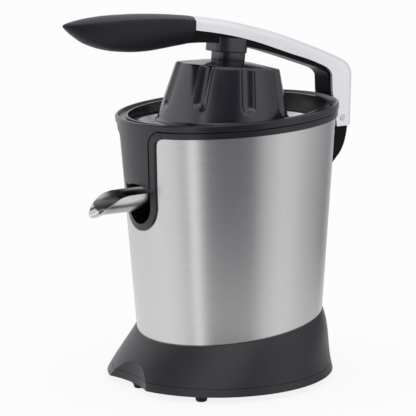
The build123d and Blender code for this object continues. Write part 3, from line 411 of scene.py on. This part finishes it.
# %% Black plastics and rubber
base_black = satin_plastic(
    "base_plastic", (0.010, 0.010, 0.015, 1), (0.015, 0.015, 0.021, 1), rough=0.32, pit=2400.0, shine=0.5
)
arm_black = satin_plastic(
    "arm_plastic", (0.005, 0.005, 0.0075, 1), (0.007, 0.007, 0.010, 1), rough=0.30, pit=2600.0, shine=0.08
)
rim_black = satin_plastic(
    "rim_plastic", (0.007, 0.007, 0.012, 1), (0.011, 0.011, 0.017, 1), rough=0.26, pit=3000.0, shine=0.55
)
bowl_black = satin_plastic(
    "collector_plastic",
    (0.006, 0.006, 0.011, 1),
    (0.010, 0.010, 0.016, 1),
    rough=0.22,
    pit=3200.0,
    shine=0.6,
)
cup_black = gloss_plastic(
    "cup_plastic", (0.006, 0.0065, 0.0125, 1), (0.009, 0.0095, 0.017, 1), rough=0.18, shine=0.8
)
grip_black = soft_rubber(
    "grip_rubber", (0.010, 0.010, 0.015, 1), (0.014, 0.014, 0.021, 1), rough=0.42, pit=2200.0
)
foot_black = soft_rubber(
    "foot_rubber", (0.010, 0.010, 0.010, 1), (0.016, 0.016, 0.016, 1), rough=0.62, pit=1800.0
)
print("black plastics and rubber")

# %% [markdown]
# The pieces inside are hidden in use, but show when the part is opened up: cast grey plastic, nylon gears,
# brass bushes, iron laminations with their thin dark lines, and copper wire.

# %% Finishes of the inner pieces
def turned_metal(name, colour, dark, rough):
    material, bench, shader, where = start_finish(name, {"Metallic": 1.0})
    lines = bench.noise(stretched(bench, where, x=200.0, y=200.0, z=4000.0), 1.0, detail=2.0)
    feed(
        bench,
        shader,
        {
            "Base Color": bench.mix(bench.clamp(lines, *METAL_SPREAD, 0.0, 1.0), dark, colour),
            "Roughness": bench.clamp(lines, *NOISE_SPREAD, rough - 0.06, rough + 0.08),
            "Normal": bump(bench, lines, strength=0.1, distance=FINE_RELIEF),
        },
    )
    return material


inner_grey = satin_plastic(
    "inner_plastic", (0.14, 0.14, 0.14, 1), (0.19, 0.19, 0.19, 1), rough=0.5, pit=1800.0
)
gear_nylon = satin_plastic(
    "gear_plastic", (0.66, 0.65, 0.60, 1), (0.74, 0.73, 0.68, 1), rough=0.42, pit=1500.0
)
bush_brass = turned_metal("bearing_brass", (0.62, 0.46, 0.20, 1), (0.48, 0.34, 0.14, 1), rough=0.28)
motor_iron = turned_metal("motor_iron", (0.26, 0.26, 0.27, 1), (0.14, 0.14, 0.15, 1), rough=0.45)
motor_copper = turned_metal("motor_copper", (0.56, 0.26, 0.11, 1), (0.38, 0.16, 0.06, 1), rough=0.35)
print("inner finishes")

# %% [markdown]
# ## Finishes on the frame's own pieces
# The record says which finish each piece takes, so one table from slot to material dresses them all.

# %% Dress the frame
finishes = {
    "foot_rubber": foot_black,
    "base_plastic": base_black,
    "fastener_steel": plain_steel,
    "brushed_shell": shell_steel,
    "rim_plastic": rim_black,
    "collector_plastic": bowl_black,
    "polished_steel": sheet_steel,
    "inner_plastic": inner_grey,
    "bearing_brass": bush_brass,
    "gear_plastic": gear_nylon,
    "motor_iron": motor_iron,
    "motor_copper": motor_copper,
    "arm_silver": arm_silver,
    "arm_plastic": arm_black,
    "grip_rubber": grip_black,
    "cup_plastic": cup_black,
}
slot_of = {entry["node"]: entry["material_slot"] for entry in frame["record"]["subparts"]}
for name, node in nodes.items():
    node.data.materials.clear()
    node.data.materials.append(finishes[slot_of[name]])
print("dressed", len(nodes), "pieces")

# %% [markdown]
# ## Building meshes from rings
# Most of the pieces are a run of rings: a turned cup, a block with round corners, a leaf-shaped grip, a pin.
# One helper skins a list of rings with quads and closes the ends, and another puts the piece on its body
# with its finish.

# %% Ring helpers
def skin(rings):
    """Points and faces of a closed surface through rings that have the same number of points."""
    count = len(rings[0])
    points = [point for ring in rings for point in ring]
    faces = []
    for row in range(len(rings) - 1):
        near = row * count
        far = near + count
        for step in range(count):
            after = (step + 1) % count
            faces.append((near + step, near + after, far + after, far + step))
    for row in (0, len(rings) - 1):
        points.append(sum(rings[row], Vector()) / count)
        for step in range(count):
            pair = (row * count + (step + 1) % count, row * count + step)
            faces.append((*(pair if row == 0 else pair[::-1]), len(points) - 1))
    return points, faces


def put_piece(name, points, faces, body, slot, sharp):
    """A mesh object on a body, smooth except at edges sharper than the angle given."""
    mesh = bpy.data.meshes.new(name)
    mesh.from_pydata([tuple(point) for point in points], [], faces)
    mesh.validate()
    shape = bmesh.new()
    shape.from_mesh(mesh)
    bmesh.ops.recalc_face_normals(shape, faces=shape.faces)
    shape.to_mesh(mesh)
    shape.free()
    mesh.shade_smooth()
    mesh.set_sharp_from_angle(angle=radians(sharp))
    mesh.materials.append(finishes[slot])
    piece = bpy.data.objects.new(name, mesh)
    bpy.context.scene.collection.objects.link(piece)
    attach(piece, body)
    print(name, len(mesh.vertices), "points")
    return piece


print("ring helpers ready")

# %% [markdown]
# ## The press cup
# The cup is a moulded cone with eight flutes that run out at the top.  It hangs from the arm and leans with
# it, and only its lower edge is level.  Its sizes are kept in millimetres along that leaning axis.

# %% Sizes and axis of the cup
ARM_LEAN = radians(6.0)
CUP_FOOT = (0.0, -3.2, 208.9)
CUP_EDGE = 209.2
CUP_LOW_RADIUS = 53.0
CUP_HIGH_RADIUS = 41.6
CUP_HEIGHT = 43.8
CUP_TAPER = (CUP_LOW_RADIUS - CUP_HIGH_RADIUS) / CUP_HEIGHT
CUP_SLANT = sqrt(1 + CUP_TAPER**2)


def cup_wall_radius(height):
    return CUP_LOW_RADIUS - CUP_TAPER * height


def cup_low(angle):
    """Height of the level lower edge along the leaning axis of the cup."""
    lean = cos(angle) * sin(ARM_LEAN)
    return (CUP_EDGE - CUP_FOOT[2] - CUP_LOW_RADIUS * lean) / (cos(ARM_LEAN) - CUP_TAPER * lean)


def cup_place(x, y, height):
    """A place in the frame from one beside the leaning axis of the cup."""
    return place(
        CUP_FOOT[0] + x,
        CUP_FOOT[1] + y * cos(ARM_LEAN) + height * sin(ARM_LEAN),
        CUP_FOOT[2] - y * sin(ARM_LEAN) + height * cos(ARM_LEAN),
    )


def cup_point(radius, angle, height):
    """A place in the frame at an angle from the front of the cup."""
    return cup_place(radius * sin(angle), -radius * cos(angle), height)


print("cup edge from", round(cup_low(0), 1), "to", round(cup_low(pi), 1), "mm up its axis")

# %% [markdown]
# A flute is the mark of a round bar laid along the wall, with a round end below.  A Boolean with such bars
# would leave hard, thin edges, so each point of the wall is pushed in by the depth of the flute it lies in,
# and the corner between flute and wall is rounded.

# %% Flutes of the cup
FLUTES = 8
FLUTE_OFFSET = 0.75
FLUTE_RADIUS = 7.2
FLUTE_INSET = 3.2
FLUTE_SOFT = 0.55
FLUTE_START = 14.5


def soft_above(value, floor, reach):
    """The larger of two numbers, with the corner between them rounded."""
    share = min(1.0, max(0.0, 0.5 + 0.5 * (value - floor) / reach))
    return floor + (value - floor) * share + reach * share * (1 - share)


def flute_depth(angle, height):
    """How far the flutes push in the wall at an angle from the front and a height."""
    pitch = 2 * pi / FLUTES
    away = ((angle / pitch - FLUTE_OFFSET + 0.5) % 1.0 - 0.5) * pitch
    across = cup_wall_radius(height) * away
    short = max(0.0, FLUTE_START - height * CUP_SLANT)
    inside = FLUTE_RADIUS**2 - across**2 - short**2
    depth = sqrt(max(0.0, inside)) - (FLUTE_RADIUS - FLUTE_INSET)
    return soft_above(depth, 0.0, FLUTE_SOFT)


print(FLUTES, "flutes,", FLUTE_INSET, "mm deep")

# %% [markdown]
# The cup's outline runs from the middle of the roof over its rounded edge, down the wall, round the lip and
# up inside.  It differs from angle to angle, because of the flutes and the level edge, so the outline is
# worked out for each angle and the rings go across the outlines.  The rows of the roof have a radius and
# a share of the flute's depth, and the rows of the lip stand off the foot of the wall.

# %% Outline of the cup
CUP_HUB = 3.0
CUP_WALL = 5.2
CUP_ROUND = 1.8
CUP_ROUND_STEPS = 7
CUP_WALL_ROWS = 30
CUP_LIP = 0.7
CUP_LIP_HEIGHT = 2.4
CUP_LIP_ROWS = [(CUP_LIP - 0.3, 1.7), (CUP_LIP, 1.0), (CUP_LIP - 0.3, 0.3)]
CUP_LIP_ROWS += [(-0.4, 0.0), (-2.0, 0.0), (-2.6, 0.5)]
CUP_INNER_RISE = 9.0
CUP_CEILING = [(CUP_HIGH_RADIUS - CUP_WALL, 6.0), (27.0, 4.2), (CUP_HUB, 4.0)]
ROOF_DOME = 3.4
ROOF_FLAT = 18.0
ROOF_ROWS = [(CUP_HUB, 0.0), (ROOF_FLAT - 2.0, 0.0), (ROOF_FLAT + 1.0, 0.0)]
ROOF_ROWS += [(25.0, 0.1), (31.0, 0.4), (CUP_HIGH_RADIUS - 4.5, 0.85)]


def roof_height(radius):
    """The roof falls from a flat middle, on which the neck stands, to the round of its edge."""
    share = (radius - ROOF_FLAT) / (CUP_HIGH_RADIUS - CUP_ROUND - ROOF_FLAT)
    return CUP_HEIGHT + ROOF_DOME * (1 - min(1.0, max(0.0, share)))


def cup_profile(angle):
    """Radius and height of each row, from the middle of the roof down the wall and up inside."""
    low = cup_low(angle)
    foot = cup_wall_radius(low)
    dent = flute_depth(angle, CUP_HEIGHT)
    rows = [(radius - pushed * dent, roof_height(radius)) for radius, pushed in ROOF_ROWS]
    round_middle = CUP_HIGH_RADIUS - CUP_ROUND * (CUP_SLANT - CUP_TAPER)
    for step in range(CUP_ROUND_STEPS + 1):
        bend = (pi / 2 - atan(CUP_TAPER)) * step / CUP_ROUND_STEPS
        height = CUP_HEIGHT - CUP_ROUND + CUP_ROUND * cos(bend)
        rows.append((round_middle + CUP_ROUND * sin(bend) - flute_depth(angle, height), height))
    for row in range(1, CUP_WALL_ROWS + 1):
        share = row / CUP_WALL_ROWS
        height = (CUP_HEIGHT - CUP_ROUND) * (1 - share) + (low + CUP_LIP_HEIGHT) * share
        rows.append((cup_wall_radius(height) - flute_depth(angle, height), height))
    rows += [(foot + outward, low + rise) for outward, rise in CUP_LIP_ROWS]
    rows.append((cup_wall_radius(low + CUP_INNER_RISE) - CUP_WALL, low + CUP_INNER_RISE))
    rows += [(radius, CUP_HEIGHT - drop) for radius, drop in CUP_CEILING]
    return rows


print("rows in the cup's outline", len(cup_profile(0)))

# %% [markdown]
# A flute is narrow beside the whole round of the cup, so every flute gets the same number of columns, with
# enough of them for its rounded edges.

# %% Press cup
FLUTE_COLUMNS = 56
CUP_STEPS = FLUTES * FLUTE_COLUMNS
cup_columns = []
for step in range(CUP_STEPS):
    angle = 2 * pi * step / CUP_STEPS
    cup_columns.append([cup_point(radius, angle, height) for radius, height in cup_profile(angle)])
cup_rings = [list(ring) for ring in zip(*cup_columns)]
press_cup = put_piece("press_cup_moulded", *skin(cup_rings), "arm", "cup_plastic", sharp=50)
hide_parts("press_cup")

# %% [markdown]
# ## The stem of the cup
# The cup hangs from a block under the arm by a shorter neck.  Both are moulded with large round corners,
# which turn through the whole room and so carry the bright and dark stretches that make them look glossy.
# A bevel on a box would do, but the rings also give the small rounds at the lower edges.

# %% Block and neck
BLOCK = {"half": (13.9, 15.0), "shift": -2.55, "corner": (8.5, 12.0), "low": 54.3, "high": 66.0}
NECK = {"half": (11.4, 12.4), "shift": -0.25, "corner": (7.0, 10.0), "low": 46.6, "high": 55.5}
STEM_LOWER_EDGE = [(2.0, 0.0), (0.7, 0.0), (0.2, 0.25), (0.0, 0.8)]
CORNER_STEPS = 12


def square_ring(size, shrink, height):
    """A square with round corners, across the axis of the cup."""
    half_x = size["half"][0] - shrink
    half_y = size["half"][1] - shrink
    corner_x = size["corner"][0] - shrink
    corner_y = size["corner"][1] - shrink
    ring = []
    for quarter, (side_x, side_y) in enumerate(((1, 1), (-1, 1), (-1, -1), (1, -1))):
        for step in range(CORNER_STEPS + 1):
            angle = pi / 2 * (quarter + step / CORNER_STEPS)
            x = side_x * (half_x - corner_x) + corner_x * cos(angle)
            y = side_y * (half_y - corner_y) + corner_y * sin(angle)
            ring.append(cup_place(x, y + size["shift"], height))
    return ring


def stem_piece(name, size):
    """A block on the arm, with a small round along its lower edge."""
    rings = [square_ring(size, shrink, size["low"] + rise) for shrink, rise in STEM_LOWER_EDGE]
    rings.append(square_ring(size, 0.0, size["high"]))
    return put_piece(name, *skin(rings), "arm", "cup_plastic", sharp=60)


stem_block = stem_piece("stem_block_moulded", BLOCK)
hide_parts("stem_block")
cup_neck = stem_piece("cup_neck_moulded", NECK)
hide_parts("cup_neck")

# %% [markdown]
# ## The grip
# The grip is a soft leaf: a gently crowned top, a crease along each side and a deep belly.  Sculpting it
# would hide its sizes, so they stand in a list of stations along its length, and smooth curves run through
# them.

# %% Curves through stations
def ease(value):
    """A smooth step from 0 to 1."""
    value = min(1.0, max(0.0, value))
    return value * value * (3 - 2 * value)


def curve_at(stations, place_along):
    """Reads a list of stations as smooth curves, one for each column after the first."""
    keys = [station[0] for station in stations]
    index = max(0, min(len(keys) - 2, sum(1 for key in keys if key <= place_along) - 1))
    low, high = stations[index], stations[index + 1]
    before = stations[max(0, index - 1)]
    after = stations[min(len(keys) - 1, index + 2)]
    span = high[0] - low[0]
    share = min(1.0, max(0.0, (place_along - low[0]) / span))
    values = []
    for column in range(1, len(low)):
        rise_in = (high[column] - before[column]) / (high[0] - before[0]) * span
        rise_out = (after[column] - low[column]) / (after[0] - low[0]) * span
        cubic = 2 * low[column] - 2 * high[column] + rise_in + rise_out
        square = -3 * low[column] + 3 * high[column] - 2 * rise_in - rise_out
        values.append(((cubic * share + square) * share + rise_in) * share + low[column])
    return values


print("half way between 0 and 1:", curve_at([(0.0, 0.0), (1.0, 1.0)], 0.5)[0])

# %% [markdown]
# Each station of the grip has a place from the body axis, the heights of crest, crease and belly, and half
# the width.  The rear edge isn't straight: it runs back over the crest and forward under the belly.

# %% Grip
GRIP_STATIONS = [
    (-146.8, 292.0, 291.4, 290.4, 1.2),
    (-145.4, 292.7, 291.6, 288.8, 3.6),
    (-139.6, 294.1, 292.1, 283.8, 7.8),
    (-129.0, 295.9, 292.7, 276.8, 12.0),
    (-112.0, 297.4, 293.4, 271.1, 15.2),
    (-92.0, 297.6, 293.7, 268.4, 16.3),
    (-76.0, 297.2, 293.5, 268.1, 16.4),
    (-60.0, 296.2, 292.9, 269.3, 16.1),
    (-44.0, 294.6, 291.4, 270.7, 15.6),
    (-36.0, 293.6, 290.4, 271.5, 15.1),
]
GRIP_REAR = [(270.5, -5.0), (277.0, -2.8), (283.0, -1.6), (287.0, -1.4), (290.0, -1.6), (294.0, 1.8)]
GRIP_REAR_ROUND = [(0.6, 0.25), (1.6, 0.5), (3.0, 0.6)]
GRIP_REAR_FROM = 0.8
GRIP_ROWS = 64
GRIP_ROW_POWER = 0.8
GRIP_TOP_STEPS = 20
GRIP_BELLY_STEPS = 36
GRIP_BELLY_POWER = 0.85


def grip_section(y, shrink):
    """Side and height of each point of the leaf's outline at a place along it."""
    crest, crease, belly, half = curve_at(GRIP_STATIONS, y)
    crest, belly, half = crest - shrink, belly + shrink, half - shrink
    ring = []
    for step in range(GRIP_TOP_STEPS):
        x = -half + 2 * half * step / GRIP_TOP_STEPS
        ring.append((x, crease + (crest - crease) * (1 - (x / half) ** 2)))
    for step in range(GRIP_BELLY_STEPS):
        angle = pi * step / GRIP_BELLY_STEPS
        ring.append((half * cos(angle), crease - (crease - belly) * sin(angle) ** GRIP_BELLY_POWER))
    return ring


def grip_rear(z):
    """How far back the rear edge runs at a height."""
    return curve_at(GRIP_REAR, z)[0]


grip_rings = []
grip_first = GRIP_STATIONS[0][0]
grip_last = GRIP_STATIONS[-1][0]
for row in range(GRIP_ROWS + 1):
    along = row / GRIP_ROWS
    y = grip_first + (grip_last - grip_first) * (1 - (1 - along) ** GRIP_ROW_POWER)
    lean = ease((along - GRIP_REAR_FROM) / (1 - GRIP_REAR_FROM))
    grip_rings.append([place(x, y + lean * grip_rear(z), z) for x, z in grip_section(y, 0.0)])
for shrink, backward in GRIP_REAR_ROUND:
    section = grip_section(grip_last, shrink)
    grip_rings.append([place(x, grip_last + backward + grip_rear(z), z) for x, z in section])
grip = put_piece("soft_grip", *skin(grip_rings), "arm", "grip_rubber", sharp=75)
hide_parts("grip")

# %% [markdown]
# ## The spout
# The spout is pressed from thin sheet: a half pipe whose sides are cut down to a rounded lip.  A Boolean
# cut would leave a ragged edge on so thin a sheet, so each arc across the pipe is drawn only as far round as
# the height of the cut at its place allows.

# %% Half pipe of the spout
SPOUT_RADIUS = 16.0
SPOUT_SHEET = 1.0
SPOUT_EDGE = 159.4
SPOUT_ROOT = -70.0
SPOUT_TIP = -126.3
SPOUT_LIP = [(-126.4, 143.2), (-124.2, 145.6), (-121.5, 147.6), (-118.5, 150.0), (-114.4, 152.9)]
SPOUT_LIP += [(-111.0, 155.2), (-108.0, 156.8), (-104.5, 157.9), (-99.0, 159.0), (-70.0, 159.2)]
SPOUT_LEAST_OPENING = 0.03
SPOUT_DROOP = 1.6
SPOUT_DROOP_FROM = -117.0
SPOUT_DROOP_LENGTH = 9.0
SPOUT_ROWS = 70
SPOUT_STEPS = 36


def spout_opening(y):
    """Half the angle of the pipe that is left at a place along it."""
    edge = curve_at(SPOUT_LIP, y)[0]
    return max(SPOUT_LEAST_OPENING, acos(max(-1.0, min(1.0, (SPOUT_EDGE - edge) / SPOUT_RADIUS))))


def spout_arc(y, reach, radius):
    """One arc across the pipe; the pipe droops a little near its lip."""
    half = spout_opening(reach)
    axis = SPOUT_EDGE - SPOUT_DROOP * ease((SPOUT_DROOP_FROM - reach) / SPOUT_DROOP_LENGTH)
    turns = [half * (2 * step / SPOUT_STEPS - 1) for step in range(SPOUT_STEPS + 1)]
    return [place(radius * sin(turn), y, axis - radius * cos(turn)) for turn in turns]


outer = []
inner = []
for row in range(SPOUT_ROWS + 1):
    reach = SPOUT_ROOT + (SPOUT_TIP - SPOUT_ROOT) * sin(pi / 2 * row / SPOUT_ROWS)
    outer.append(spout_arc(reach, reach, SPOUT_RADIUS))
    inner.append(spout_arc(min(reach, SPOUT_ROOT - SPOUT_SHEET), reach, SPOUT_RADIUS - SPOUT_SHEET))
spout_points = [point for arc in outer + inner for point in arc]
print("arcs across the spout", len(outer) + len(inner))

# %% [markdown]
# The sheet has an outer side, an inner side and the cut edges between them.  All of these are strips of
# quads between two rows of points.

# %% Sheet of the spout
wide = SPOUT_STEPS + 1
behind = len(outer) * wide


def strip(first, second):
    """Quads between two rows of points across the pipe, by the number of each row's first point."""
    return [(first + s, first + s + 1, second + s + 1, second + s) for s in range(SPOUT_STEPS)]


spout_faces = []
for row in range(SPOUT_ROWS):
    for side in (0, behind):
        start = side + row * wide
        spout_faces += strip(start, start + wide)
    for edge in (row * wide, row * wide + SPOUT_STEPS):
        spout_faces.append((edge, edge + wide, edge + wide + behind, edge + behind))
last = SPOUT_ROWS * wide
spout_faces += strip(last, last + behind)
print("faces of the spout's sheet", len(spout_faces))

# %% [markdown]
# The root of the pipe is closed by a plate, and a short pin on each side lets the spout tip up.

# %% Root plate and pins of the spout
PIN_PLACE = (-76.0, 155.0)
PIN_PROFILE = [(15.3, 2.0), (18.4, 2.0), (18.7, 1.9), (18.8, 1.5)]
PIN_STEPS = 24

chord = (outer[0][0].z + outer[0][-1].z) / 2 / MM
for start, depth in ((0, SPOUT_ROOT), (behind, SPOUT_ROOT - SPOUT_SHEET)):
    spout_points.append(place(0, depth, chord))
    spout_faces += [(start + s, start + s + 1, len(spout_points) - 1) for s in range(SPOUT_STEPS)]
middle = len(spout_points) - 2
spout_faces += [(0, middle, middle + 1, behind), (middle, SPOUT_STEPS, behind + SPOUT_STEPS, middle + 1)]
pin_y, pin_z = PIN_PLACE
pin_turns = [2 * pi * step / PIN_STEPS for step in range(PIN_STEPS)]
for sign in (-1, 1):
    pin_rings = []
    for x, radius in PIN_PROFILE:
        circle = [(pin_y + radius * cos(turn), pin_z + radius * sin(turn)) for turn in pin_turns]
        pin_rings.append([place(sign * x, y, z) for y, z in circle])
    pin_points, pin_faces = skin(pin_rings)
    first = len(spout_points)
    spout_points += pin_points
    spout_faces += [tuple(first + corner for corner in face) for face in pin_faces]
spout = put_piece("steel_spout", spout_points, spout_faces, "spout", "polished_steel", sharp=50)
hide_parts("spout")

# %% [markdown]
# ## Soft edges
# Moulded and folded edges are never knife sharp, and the thin light line along an edge is what shows its
# size.  A Bevel modifier rounds the edges of the frame's own pieces and leaves their meshes as they are.

# %% Round the edges of the frame's pieces
SOFT_EDGES = {"arm_liner": 0.9, "bottom_tray": 0.5, "base_skirt": 0.4, "hinge_bracket": 0.6}
EDGE_SEGMENTS = 3
EDGE_ANGLE = radians(40)
for name, width in SOFT_EDGES.items():
    edge_round = nodes[name].modifiers.new("edge_round", "BEVEL")
    edge_round.width = width * MM
    edge_round.segments = EDGE_SEGMENTS
    edge_round.limit_method = "ANGLE"
    edge_round.angle_limit = EDGE_ANGLE
print("soft edges on", len(SOFT_EDGES), "pieces")

# %% [markdown]
# ## The floor
# The machine stands on white paper.  The camera should see the paper almost white, with a faint shadow, so
# the camera's view of it is mostly glow.  In the steel, a whole white floor would show as a broad bright
# band, so mirrored light passes through most of the paper, and less so close to the machine, where a real
# table brightens the foot of the steel.  The floor's sizes are in metres, as its nodes read them.

# %% Floor
FLOOR_SIZE = 12.0
FLOOR_GLOW = 0.86
FLOOR_CLEAR = 0.85
FLOOR_NEAR = 0.42
NEAR_BEGINS = (0.14, 0.20)
NEAR_ENDS = (0.20, 0.50)
PAPER_GRAIN = 300.0
PAPER_DULL = (0.93, 0.93, 0.93, 1)
PAPER_PALE = (0.96, 0.96, 0.96, 1)
WHITE = (1, 1, 1, 1)


def floor_paper():
    """White paper that the camera sees as glow and mirrored light sees near the machine."""
    material = bpy.data.materials.new("floor_paper")
    material.use_nodes = True
    tree = material.node_tree
    bench = Bench(tree)
    tree.nodes.remove(tree.nodes["Principled BSDF"])
    where = bench.node("ShaderNodeTexCoord", output="Object")
    fibre = bench.clamp(bench.noise(where, PAPER_GRAIN), *NOISE_SPREAD, 0.0, 1.0)
    paper = bench.node("ShaderNodeBsdfDiffuse", {}, {"Color": bench.mix(fibre, PAPER_DULL, PAPER_PALE)})
    glow = bench.node("ShaderNodeEmission", {}, {"Color": WHITE, "Strength": 1.0})
    clear = bench.node("ShaderNodeBsdfTransparent")
    mirrored = bench.node("ShaderNodeLightPath", output="Is Glossy Ray")
    seen = bench.node("ShaderNodeLightPath", output="Is Camera Ray") + mirrored
    ground_x = bench.axis(where, "X")
    ground_y = bench.axis(where, "Y")
    away = (ground_x * ground_x + ground_y * ground_y) ** 0.5
    near = bench.clamp(away, *NEAR_BEGINS, 0.0, 1.0) * bench.clamp(away, *NEAR_ENDS, 1.0, 0.0)
    lit = bench.node("ShaderNodeMixShader", {}, {0: seen * FLOOR_GLOW, 1: paper, 2: glow})
    open_share = mirrored * (FLOOR_CLEAR - near * FLOOR_NEAR)
    shown = bench.node("ShaderNodeMixShader", {}, {0: open_share, 1: lit, 2: clear})
    tree.links.new(shown.socket, tree.nodes["Material Output"].inputs["Surface"])
    return material


half_floor = FLOOR_SIZE / 2
corners = [(x * half_floor, y * half_floor, 0) for x, y in ((-1, -1), (1, -1), (1, 1), (-1, 1))]
floor_mesh = bpy.data.meshes.new("floor")
floor_mesh.from_pydata(corners, [], [(0, 1, 2, 3)])
floor_mesh.materials.append(floor_paper())
floor = bpy.data.objects.new("floor", floor_mesh)
bpy.context.scene.collection.objects.link(floor)
print("floor", FLOOR_SIZE, "m")

# %% [markdown]
# ## The room
# Steel and gloss mirror what stands round them, so the room is written as two rings of panels, as in a
# studio.  The upright walls mirror the lower ring, and the arm's top and the rounded edges mirror the upper
# one.  A picture of a real room would do too, but here each panel can be moved by itself.  It has an angle
# from the camera's side, in degrees, and a level of light.

# %% Panels of the room
LOWER_PANELS = [
    (-180, 0.68),
    (-140, 0.82),
    (-82, 0.95),
    (-61, 0.84),
    (-49, 0.56),
    (-45, 0.60),
    (-42, 1.10),
    (-36, 1.10),
    (-29, 0.42),
    (-22, 0.11),
    (-6, 0.05),
    (10, 0.045),
    (26, 0.09),
    (42, 0.52),
    (60, 0.78),
    (76, 0.76),
    (100, 0.50),
    (140, 0.20),
    (156, 0.42),
    (180, 0.68),
]
UPPER_PANELS = [
    (-180, 1.10),
    (-140, 0.95),
    (-110, 0.30),
    (-72, 0.22),
    (-45, 0.75),
    (-20, 1.60),
    (10, 1.70),
    (40, 1.30),
    (80, 1.10),
    (110, 0.70),
    (145, 0.60),
    (165, 1.00),
    (180, 1.10),
]
BLUE_CAST = 0.025
world = bpy.data.worlds.new("room")
world.use_nodes = True
bpy.context.scene.world = world
room = Bench(world.node_tree)
look = room.node("ShaderNodeTexCoord", output="Generated")
look_x = room.axis(look, "X")
look_y = room.axis(look, "Y")
look_z = room.axis(look, "Z")
heading = room.node("ShaderNodeMath", {"operation": "ARCTAN2"}, {0: look_x, 1: 0 - look_y})
whole_turns = (heading - VIEW_AZIMUTH) / (2 * pi) + 1.5
part_turn = room.node("ShaderNodeMath", {"operation": "FRACT"}, {0: whole_turns})


def ring_of_panels(panels):
    """A colour ramp once round the room, from behind the machine to behind it again."""
    stops = [((angle + 180) / 360, (light, light, light + BLUE_CAST, 1)) for angle, light in panels]
    return room.node("ShaderNodeValToRGB", {"stops": stops}, {"Fac": part_turn})


lower_ring = ring_of_panels(LOWER_PANELS)
upper_ring = ring_of_panels(UPPER_PANELS)
print("panels", len(LOWER_PANELS), "below and", len(UPPER_PANELS), "above")

# %% [markdown]
# A direction's height, from -1 straight down to 1 straight up, picks between the lower ring, the upper ring
# and a dim ceiling that keeps level tops from glaring.  Only mirrored light sees the panels.  Matt surfaces
# are lit by one even level, so that a colour looks as it is written, and the camera sees plain white.

# %% Room light
LOWER_GAIN = 1.2
LOWER_GAIN_HEIGHTS = (0.02, 0.3)
UPPER_HEIGHTS = (0.52, 0.64)
CEILING_HEIGHTS = (0.75, 0.95)
CEILING = (0.50, 0.50, 0.51, 1)
EVEN_LEVEL = (0.88, 0.88, 0.88, 1)
gain = room.clamp(look_z, *LOWER_GAIN_HEIGHTS, 1.0, LOWER_GAIN)
lower = room.node("ShaderNodeVectorMath", {"operation": "SCALE"}, {0: lower_ring, "Scale": gain})
panels = room.mix(room.clamp(look_z, *UPPER_HEIGHTS, 0.0, 1.0), lower, upper_ring)
mirrored = room.mix(room.clamp(look_z, *CEILING_HEIGHTS, 0.0, 1.0), panels, CEILING)
by_mirror = room.node("ShaderNodeLightPath", output="Is Glossy Ray")
through = room.node("ShaderNodeLightPath", output="Is Transmission Ray")
by_camera = room.node("ShaderNodeLightPath", output="Is Camera Ray") + through
lighting = room.mix(by_mirror, EVEN_LEVEL, mirrored)
shown = room.mix(by_camera, lighting, WHITE)
world.node_tree.nodes.remove(world.node_tree.nodes["Background"])
ambient = room.node("ShaderNodeBackground", {}, {"Color": shown, "Strength": 1.0})
world.node_tree.links.new(ambient.socket, world.node_tree.nodes["World Output"].inputs["Surface"])
print("room light on", world.name)

# %% [markdown]
# ## The lamp
# The room lights everything evenly, which leaves the machine floating.  One weak, broad panel overhead sets
# it on the floor with a soft shadow, where a small lamp or a sun would draw a hard one.

# %% Lamp over the machine
LAMP_SPOT = (0, -100, 1300)
LAMP_AIM = (0, 0, 150)
LAMP_SIDE = 900
LAMP_WATTS = 0.8
lamp = bpy.data.lights.new("top_panel", "AREA")
lamp.shape = "RECTANGLE"
lamp.size = LAMP_SIDE * MM
lamp.size_y = LAMP_SIDE * MM
lamp.energy = LAMP_WATTS
top_panel = bpy.data.objects.new("top_panel", lamp)
bpy.context.scene.collection.objects.link(top_panel)
top_panel.location = place(*LAMP_SPOT)
from_machine = place(*LAMP_SPOT) - place(*LAMP_AIM)
top_panel.rotation_euler = from_machine.to_track_quat("Z", "Y").to_euler()
bpy.context.scene.view_settings.view_transform = "Standard"
print("one lamp of", LAMP_WATTS, "W")

# %% [markdown]
# ## The end

# %% End
print("scene built")
